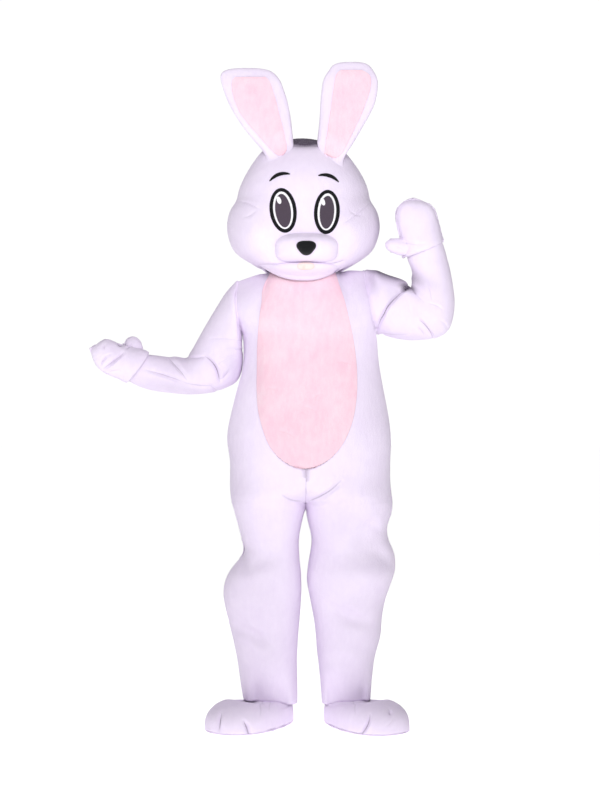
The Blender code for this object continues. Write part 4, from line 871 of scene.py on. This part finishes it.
def domed(out, edge, power, soft_top=0.0):
    """The profile of a stuffed pad. soft_top eases its upper edge."""

    def profile(share, across, up):
        rise = 1 / (1.9 - soft_top * max(0.0, up))
        return edge + (out - edge) * max(0.0, 1 - share**power) ** rise

    return profile


def cut_edge(share, across, up):
    """The profile of a felt sheet with a soft cut edge."""
    return EYE_SHEET * min(1.0, 0.35 + (1 - share) * 12)


def shrunk(oval, inset, drop=0.0):
    """An oval moved in by inset all round and down by drop."""
    width, height = oval.half_width - inset, oval.half_height - inset
    return oval._replace(z=oval.z - drop, half_width=width, half_height=height)


def make_face(face, looks):
    """Muzzle, jaw, tooth, nose, eyes and brows, each on the surface behind it."""
    skin, black = tree_of(face), looks["black"]
    dome = domed(MUZZLE_OUT, PAD_EDGE, 2.4, soft_top=1.0)
    outline = lambda turn: box_outline(turn, MOUTH_FLATNESS)
    muzzle = make_pad("muzzle_pad", MUZZLE, skin, LIFT, dome, looks["plush"], 24, 120, outline)
    jaw = make_pad("jaw_pad", CHIN, skin, -PAD_EDGE, chin, looks["plush"], 24, 144, bow=CHIN_BOW)
    dome = domed(NOSE_OUT, NOSE_EDGE, 3.0)
    outline = lambda turn: 1 + NOSE_CORNERS * math.sin(3 * turn)
    nose = make_pad("nose_pad", NOSE, tree_of(muzzle), LIFT, dome, black, 14, 72, outline)
    dome = domed(TOOTH_OUT, TOOTH_EDGE, 5.0)
    tooth = make_pad("tooth_felt", TOOTH, tree_of(jaw), LIFT, dome, looks["cream"], 10, 64, box_outline)
    stand_for(muzzle, "muzzle")
    stand_for(jaw, "jaw")
    stand_for(nose, "nose")
    stand_for(tooth, "tooth")
    for side, eye in EYES.items():
        layers = [
            ("rim", eye, black, "felt_black"),
            ("white", shrunk(eye, EYE_RIM), looks["white"], "felt_white"),
            ("pupil", shrunk(eye, EYE_RIM + EYE_WHITE, PUPIL_DROP), looks["pupil"], "felt_grey"),
            ("glint", GLINT._replace(x=eye.x + GLINT.x, z=eye.z + GLINT.z), looks["white"], "felt_white"),
        ]
        gap = LIFT
        for name, oval, look, slot in layers:
            piece = make_pad(f"eye_{side}_{name}_felt", oval, skin, gap, cut_edge, look, 8, 96)
            stand_for(piece, f"eye_{side}_{name}")
            gap += EYE_SHEET + EYE_GAP
        oval, dome = BROWS[side], domed(BROW_OUT, BROW_EDGE, 4.0)
        brow = make_pad(f"brow_{side}_felt", oval, skin, LIFT, dome, black, 6, 72, bow=BROW_BOW)
        stand_for(brow, f"brow_{side}")


# Zip, stitches and soles


def add_block(made, size, place):
    """Adds a small block to a mesh."""
    corners = bmesh.ops.create_cube(made, size=1.0)["verts"]
    bmesh.ops.scale(made, vec=size, verts=corners)
    bmesh.ops.transform(made, matrix=place, verts=corners)


def block_object(name, made, bevel, material):
    """The object of a mesh of blocks, with their edges eased."""
    bmesh.ops.bevel(made, geom=made.edges[:], offset=bevel, segments=1, affect="EDGES")
    mesh = bpy.data.meshes.new(name)
    made.to_mesh(mesh)
    made.free()
    mesh.materials.append(material)
    return link_new(name, mesh)


def make_teeth(material):
    """The zip's teeth in two rows that mesh, along the tape behind them."""
    tape = tree_of(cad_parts["zip_tape"])
    low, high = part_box("zip_chain")
    made = bmesh.new()
    for side in (-1, 1):
        z = low[2] + TOOTH_PITCH * (0.75 + 0.25 * side)
        while z < high[2] - TOOTH_PITCH:
            starts = [Vector((side * TAPE_ASIDE, 0.4, at)) for at in (z, z + TAPE_STEP)]
            here, above = (tape.ray_cast(start, -TOWARDS_BACK)[0] for start in starts)
            if here is not None and above is not None:
                turn = Matrix.Rotation(-math.atan2(above.y - here.y, TAPE_STEP), 4, "X")
                place = Matrix.Translation((side * TEETH_ASIDE, here.y + TEETH_OUT, z))
                add_block(made, TEETH_SIZE, place @ turn)
            z += TOOTH_PITCH
    stand_for(block_object("zip_teeth", made, TEETH_BEVEL, material), "zip_chain")


def make_stitches(path, trees, material):
    """Short uneven hand stitches along the belly's edge, in one mesh that lies on the cloths."""
    rng = np.random.default_rng(8)
    run = np.concatenate([[0.0], np.cumsum(np.linalg.norm(np.diff(path, axis=0), axis=1))])
    made = bmesh.new()
    at = STITCH_PITCH
    while at < run[-1] - STITCH_PITCH:
        x, z = (np.interp(at, run, path[:, k]) for k in (0, 2))
        ahead = [np.interp(at + STITCH_PITCH, run, path[:, k]) for k in (0, 2)]
        turn = -math.atan2(ahead[1] - z, ahead[0] - x) + rng.uniform(-STITCH_TURN, STITCH_TURN)
        z += rng.uniform(-1, 1) * STITCH_WANDER
        hits = [tree.ray_cast(Vector((x, -1.0, z)), TOWARDS_BACK)[0] for tree in trees]
        depths = [hit.y for hit in hits if hit is not None]
        if depths:
            place = Matrix.Translation((x, min(depths) - STITCH_SINK, z)) @ Matrix.Rotation(turn, 4, "Y")
            add_block(made, (STITCH_LENGTH * rng.uniform(0.5, 1.3), *STITCH_SECTION), place)
        at += STITCH_PITCH * rng.uniform(0.6, 2.0)
    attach(block_object("belly_stitches", made, STITCH_BEVEL, material), BODY)


def make_sole(side, material):
    """The flat sole: the CAD sole's outline with a soft rolled edge."""
    name = f"foot_{side}_sole"
    points, _, _ = node_mesh([name])
    low, high = points[:, 2].min(), points[:, 2].max()
    rim = points[np.abs(points[:, 2] - low) < 1e-5, :2]
    middle = rim.mean(axis=0)
    rim = rim - middle
    far = np.linalg.norm(rim, axis=1)
    rim, far = rim[far > SOLE_INNER], far[far > SOLE_INNER]
    around = np.arange(SOLE_COLUMNS) / SOLE_COLUMNS * 2 * np.pi - np.pi
    reach = np.interp(around, np.arctan2(rim[:, 1], rim[:, 0]), far, period=2 * np.pi)
    rows = [(0.0, low), (0.5, low), (0.97, low), (0.99, low + 0.0005), (1.0, low + 0.002)]
    rows += [(1.0, high - 0.0015), (0.99, high - 0.0003), (0.96, high), (0.5, high), (0.0, high)]
    made, faces = [], []
    for row, (share, z) in enumerate(rows):
        for a, r in zip(around, reach * share):
            made.append((middle[0] + r * math.cos(a), middle[1] + r * math.sin(a), z))
        if row:
            faces += ring_tris((row - 1) * SOLE_COLUMNS, row * SOLE_COLUMNS, SOLE_COLUMNS, flip=True)
    piece = new_object(f"{name}_slab", *weld(np.array(made), np.array(faces), 6), material)
    stand_for(piece, name)


# Materials, world and lights


def feed(tree, node, inputs):
    """Sets a shader node's inputs, or links them to other nodes' outputs."""
    for key, value in inputs.items():
        if isinstance(value, bpy.types.NodeSocket):
            tree.links.new(value, node.inputs[key])
        else:
            node.inputs[key].default_value = value


def add_node(tree, kind, inputs, output=0, **settings):
    """A new shader node: its output."""
    node = tree.nodes.new(f"ShaderNode{kind}")
    for key, value in settings.items():
        setattr(node, key, value)
    feed(tree, node, inputs)
    return node.outputs[output]


def new_material(name):
    """A new node material, its nodes and its shader."""
    made = bpy.data.materials.new(name)
    made.use_nodes = True
    return made, made.node_tree, made.node_tree.nodes["Principled BSDF"]


def noise(tree, scale, detail, stretch=(1, 1, 1)):
    """A noise texture over the object's own coordinates."""
    place = add_node(tree, "TexCoord", {}, "Object")
    place = add_node(tree, "Mapping", {"Vector": place, "Scale": stretch})
    inputs = {"Vector": place, "Scale": scale, "Detail": detail, "Roughness": 0.6}
    return add_node(tree, "TexNoise", inputs, "Fac")


def ramp(tree, source, low, high, start, end):
    """A colour ramp between two colours."""
    node = tree.nodes.new("ShaderNodeValToRGB")
    for element, position, colour in zip(node.color_ramp.elements, (start, end), (low, high)):
        element.position, element.color = position, (*colour, 1)
    feed(tree, node, {"Fac": source})
    return node.outputs["Color"]


def bump(tree, height, strength, distance):
    """A bumped normal, from the height of a texture."""
    return add_node(tree, "Bump", {"Height": height, "Strength": strength, "Distance": distance}, "Normal")


def plush(name, light, dark, pile=0.0016):
    """Short-pile plush: brushed patches, nap, sheen at the edges, and painted shade in folds, seams and
    shaded places.
    """
    made, tree, shader = new_material(name)
    patchy = noise(tree, 9.0, 3.0)
    brushed = noise(tree, 70.0, 4.0, (1, 1, 0.45))
    nap = noise(tree, 620.0, 3.0, (1, 1, 0.6))
    mixed = add_node(tree, "Math", {0: brushed, 1: 0.35}, operation="MULTIPLY")
    mixed = add_node(tree, "Math", {0: nap, 1: 0.20, 2: mixed}, operation="MULTIPLY_ADD")
    mixed = add_node(tree, "Math", {0: patchy, 1: 0.45, 2: mixed}, operation="MULTIPLY_ADD")
    colour = ramp(tree, mixed, dark, light, 0.36, 0.60)
    span = {"From Min": 0.30, "From Max": 0.70, "To Min": 0.75, "To Max": 1.20}
    fuzz = add_node(tree, "MapRange", {"Value": nap, **span}, "Result")
    # Painted shade: the shade painted on the cloth's points, broken up by the nap, darkens its colour.
    painted_shade = add_node(tree, "Attribute", {}, "Fac", attribute_name="painted_shade")
    depth = add_node(tree, "Math", {0: painted_shade, 1: fuzz}, operation="MULTIPLY", use_clamp=True)
    shaded = {"Fac": depth, "Color1": colour, "Color2": (*PAINTED_SHADE_COLOUR, 1)}
    soft = {"Height": brushed, "Strength": 0.35, "Distance": 0.004, "Normal": bump(tree, nap, 0.55, pile)}
    feed(tree, shader, {
        "Base Color": add_node(tree, "MixRGB", shaded, "Color"),
        "Roughness": 0.95,
        "Specular IOR Level": 0.15,
        "Sheen Weight": 0.12,
        "Sheen Roughness": 0.45,
        "Normal": add_node(tree, "Bump", soft, "Normal"),
    })
    return made


def felt(name, light, dark):
    """Felt: matted fibres and a slightly uneven colour."""
    made, tree, shader = new_material(name)
    fibres = noise(tree, 900.0, 4.0)
    feed(tree, shader, {
        "Base Color": ramp(tree, fibres, dark, light, 0.3, 0.65),
        "Roughness": 0.85,
        "Specular IOR Level": 0.2,
        "Sheen Weight": 0.15,
        "Normal": bump(tree, fibres, 0.4, 0.0006),
    })
    return made


def lacquer(name, colour):
    """Painted zip metal, with the paint a little uneven."""
    made, tree, shader = new_material(name)
    wear = noise(tree, 400.0, 3.0)
    feed(tree, shader, {
        "Base Color": ramp(tree, wear, tuple(0.85 * c for c in colour), colour, 0.3, 0.6),
        "Roughness": 0.35,
        "Coat Weight": 0.3,
        "Normal": bump(tree, wear, 0.2, 0.0002),
    })
    return made


def make_world():
    """A studio: white behind the costume, light from the front and left, less from above and the right."""
    world = bpy.data.worlds.new("studio")
    world.use_nodes = True
    tree = world.node_tree
    way = add_node(tree, "TexCoord", {}, "Generated")
    depth = add_node(tree, "SeparateXYZ", {"Vector": way}, "Y")
    aside = {0: way, 1: unit(np.array(SHADE_WAY))}
    aside = add_node(tree, "VectorMath", aside, "Value", operation="DOT_PRODUCT")
    smooth = {"interpolation_type": "SMOOTHSTEP"}
    behind = {"Value": depth, "From Min": 0.86, "From Max": 0.96}
    behind = add_node(tree, "MapRange", behind, "Result", **smooth)
    room = {"Value": aside, "From Min": 0.20, "From Max": 0.72, "To Min": ROOM_BRIGHT, "To Max": ROOM_DARK}
    room = add_node(tree, "MapRange", room, "Result", **smooth)
    strength = add_node(tree, "Mix", {"Factor": behind, "A": room, "B": BACKDROP}, "Result")
    feed(tree, tree.nodes["Background"], {"Strength": strength, "Color": (1.0, 1.0, 1.0, 1)})
    return world


def soft_box(name, place, size, power):
    """A big round soft light that points at the face."""
    data = bpy.data.lights.new(name, "AREA")
    data.shape = "DISK"
    data.size = size
    data.energy = power
    lamp = link_new(name, data)
    lamp.location = place
    lamp.rotation_euler = (LIGHTS_AIM - lamp.location).to_track_quat("-Z", "Y").to_euler()


looks = {
    "plush": plush("plush_white_nap", (0.885, 0.79, 0.955), (0.835, 0.735, 0.915)),
    "pink": plush("plush_pink_nap", (0.95, 0.705, 0.8), (0.93, 0.595, 0.72), pile=0.0022),
    "black": felt("felt_black_fibres", (0.006, 0.006, 0.008), (0.003, 0.003, 0.004)),
    "white": felt("felt_white_fibres", (0.93, 0.92, 0.95), (0.86, 0.84, 0.88)),
    "pupil": felt("felt_grey_fibres", (0.085, 0.062, 0.088), (0.06, 0.045, 0.063)),
    "cream": plush("felt_cream_fibres", (0.93, 0.76, 0.72), (0.88, 0.69, 0.65), pile=0.0008),
    "zip": lacquer("zip_lacquer", (0.78, 0.75, 0.82)),
    "tape": felt("zip_tape_weave", (0.86, 0.8, 0.9), (0.78, 0.72, 0.83)),
    "thread": felt("stitching_thread", (0.52, 0.42, 0.5), (0.4, 0.32, 0.4)),
}

# Suit and belly
skin = refine(*outer_skin(SUIT, CAD_CLOTH))
cloth = shape_cloth(SUIT, *skin, SUIT_WAVES, SUIT_SEAM, faint_from=SUIT.index("sleeve_left"))
cloth = (rest_hems(*cloth[:2]), *cloth[1:])
on_suit = skin_tree(*cloth[:2])
split_panels(SUIT, cloth, looks["plush"], CLOTH)
skin = refine(*outer_skin(["belly_panel"], CAD_LINING, front_only=True))
cloth = shape_cloth(["belly_panel"], *skin, BELLY_WAVES, SUIT_SEAM)
split_panels(["belly_panel"], cloth, looks["pink"], BELLY_CLOTH)
rim = cloth[0][rim_of(cloth[1])]
rim = rim[rim[:, 2] < STITCH_TOP - HOLD_HEIGHT]
on_belly = skin_tree(*cloth[:2])
make_stitches(rim[rim[:, 0].argsort()], [on_suit, on_belly], looks["thread"])

# Head and ears
skin = refine(*outer_skin(HEAD, CAD_HEAD, TIGHT_REACH, sharp=HEAD_SHARP))
cloth = shape_cloth(HEAD, *skin, HEAD_WAVES, HEAD_SEAM)
on_head = skin_tree(*cloth[:2])
head = split_panels(HEAD, cloth, looks["plush"], HEAD_WALL)
make_face(head["head_face"], looks)
for side in SIDES:
    points, tris, _ = refine(*outer_skin([f"ear_{side}"], CAD_EAR), 3)
    ear = new_object(f"ear_{side}_stuffed", sunk(points, on_head), tris, looks["plush"])
    stand_for(ear, f"ear_{side}")
    lining = [f"ear_{side}_inner"]
    points, tris, tags = refine(*outer_skin(lining, CAD_LINING, front_only=True), 3)
    cloth = shape_cloth(lining, sunk(points, on_head, LINING_LIFT), tris, tags, LINING_WAVES, SUIT_SEAM)
    split_panels(lining, cloth, looks["pink"], BELLY_CLOTH)

# Mitts and feet
for side in SIDES:
    hand, upper = [f"mitt_{side}_palm", f"mitt_{side}_back"], [f"foot_{side}_upper"]
    skin = refine(*outer_skin(hand, CAD_CLOTH, TIGHT_REACH))
    cloth = shape_cloth(hand, *skin, MITT_WAVES, MITT_SEAM, hug=CUFF_HUG)
    split_panels(hand, cloth, looks["plush"], CLOTH)
    cloth = shape_cloth(upper, *refine(*outer_skin(upper, CAD_CLOTH)), FOOT_WAVES, SUIT_SEAM)
    split_panels(upper, cloth, looks["plush"], CLOTH)
    make_sole(side, looks["plush"])

# Zip
make_teeth(looks["zip"])
for name, look in (("zip_tape", "tape"), ("zip_slider", "zip"), ("zip_pull", "zip")):
    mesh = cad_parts[name].data
    mesh.materials.clear()
    mesh.materials.append(looks[look])

# Floor, light and camera
mesh = bpy.data.meshes.new("floor")
corners = [(x * FLOOR_HALF, y * FLOOR_HALF, -HOLD_HEIGHT) for x, y in ((-1, -1), (1, -1), (1, 1), (-1, 1))]
mesh.from_pydata(corners, [], [(0, 1, 2, 3)])
floor = link_new("floor", mesh)
pale, tree, shader = new_material("floor_pale")
glow = {"Emission Color": (1, 1, 1, 1), "Emission Strength": FLOOR_GLOW}
feed(tree, shader, {"Base Color": (0.92, 0.92, 0.92, 1), "Roughness": 1.0, **glow})
mesh.materials.append(pale)

scene = bpy.context.scene
scene.world = make_world()
scene.view_settings.view_transform = "Standard"
soft_box("back", (0.4, 3.4, 0.5), 1.4, 22)
soft_box("key", (0.0, -2.6, 0.8), 1.1, 35)

lens = bpy.data.cameras.new("camera")
lens.sensor_fit = "VERTICAL"
lens.sensor_height = 36.0
lens.lens = 75.0
scene.camera = link_new("camera", lens)
scene.camera.location = CAMERA
scene.camera.rotation_euler = (math.pi / 2, 0, 0)
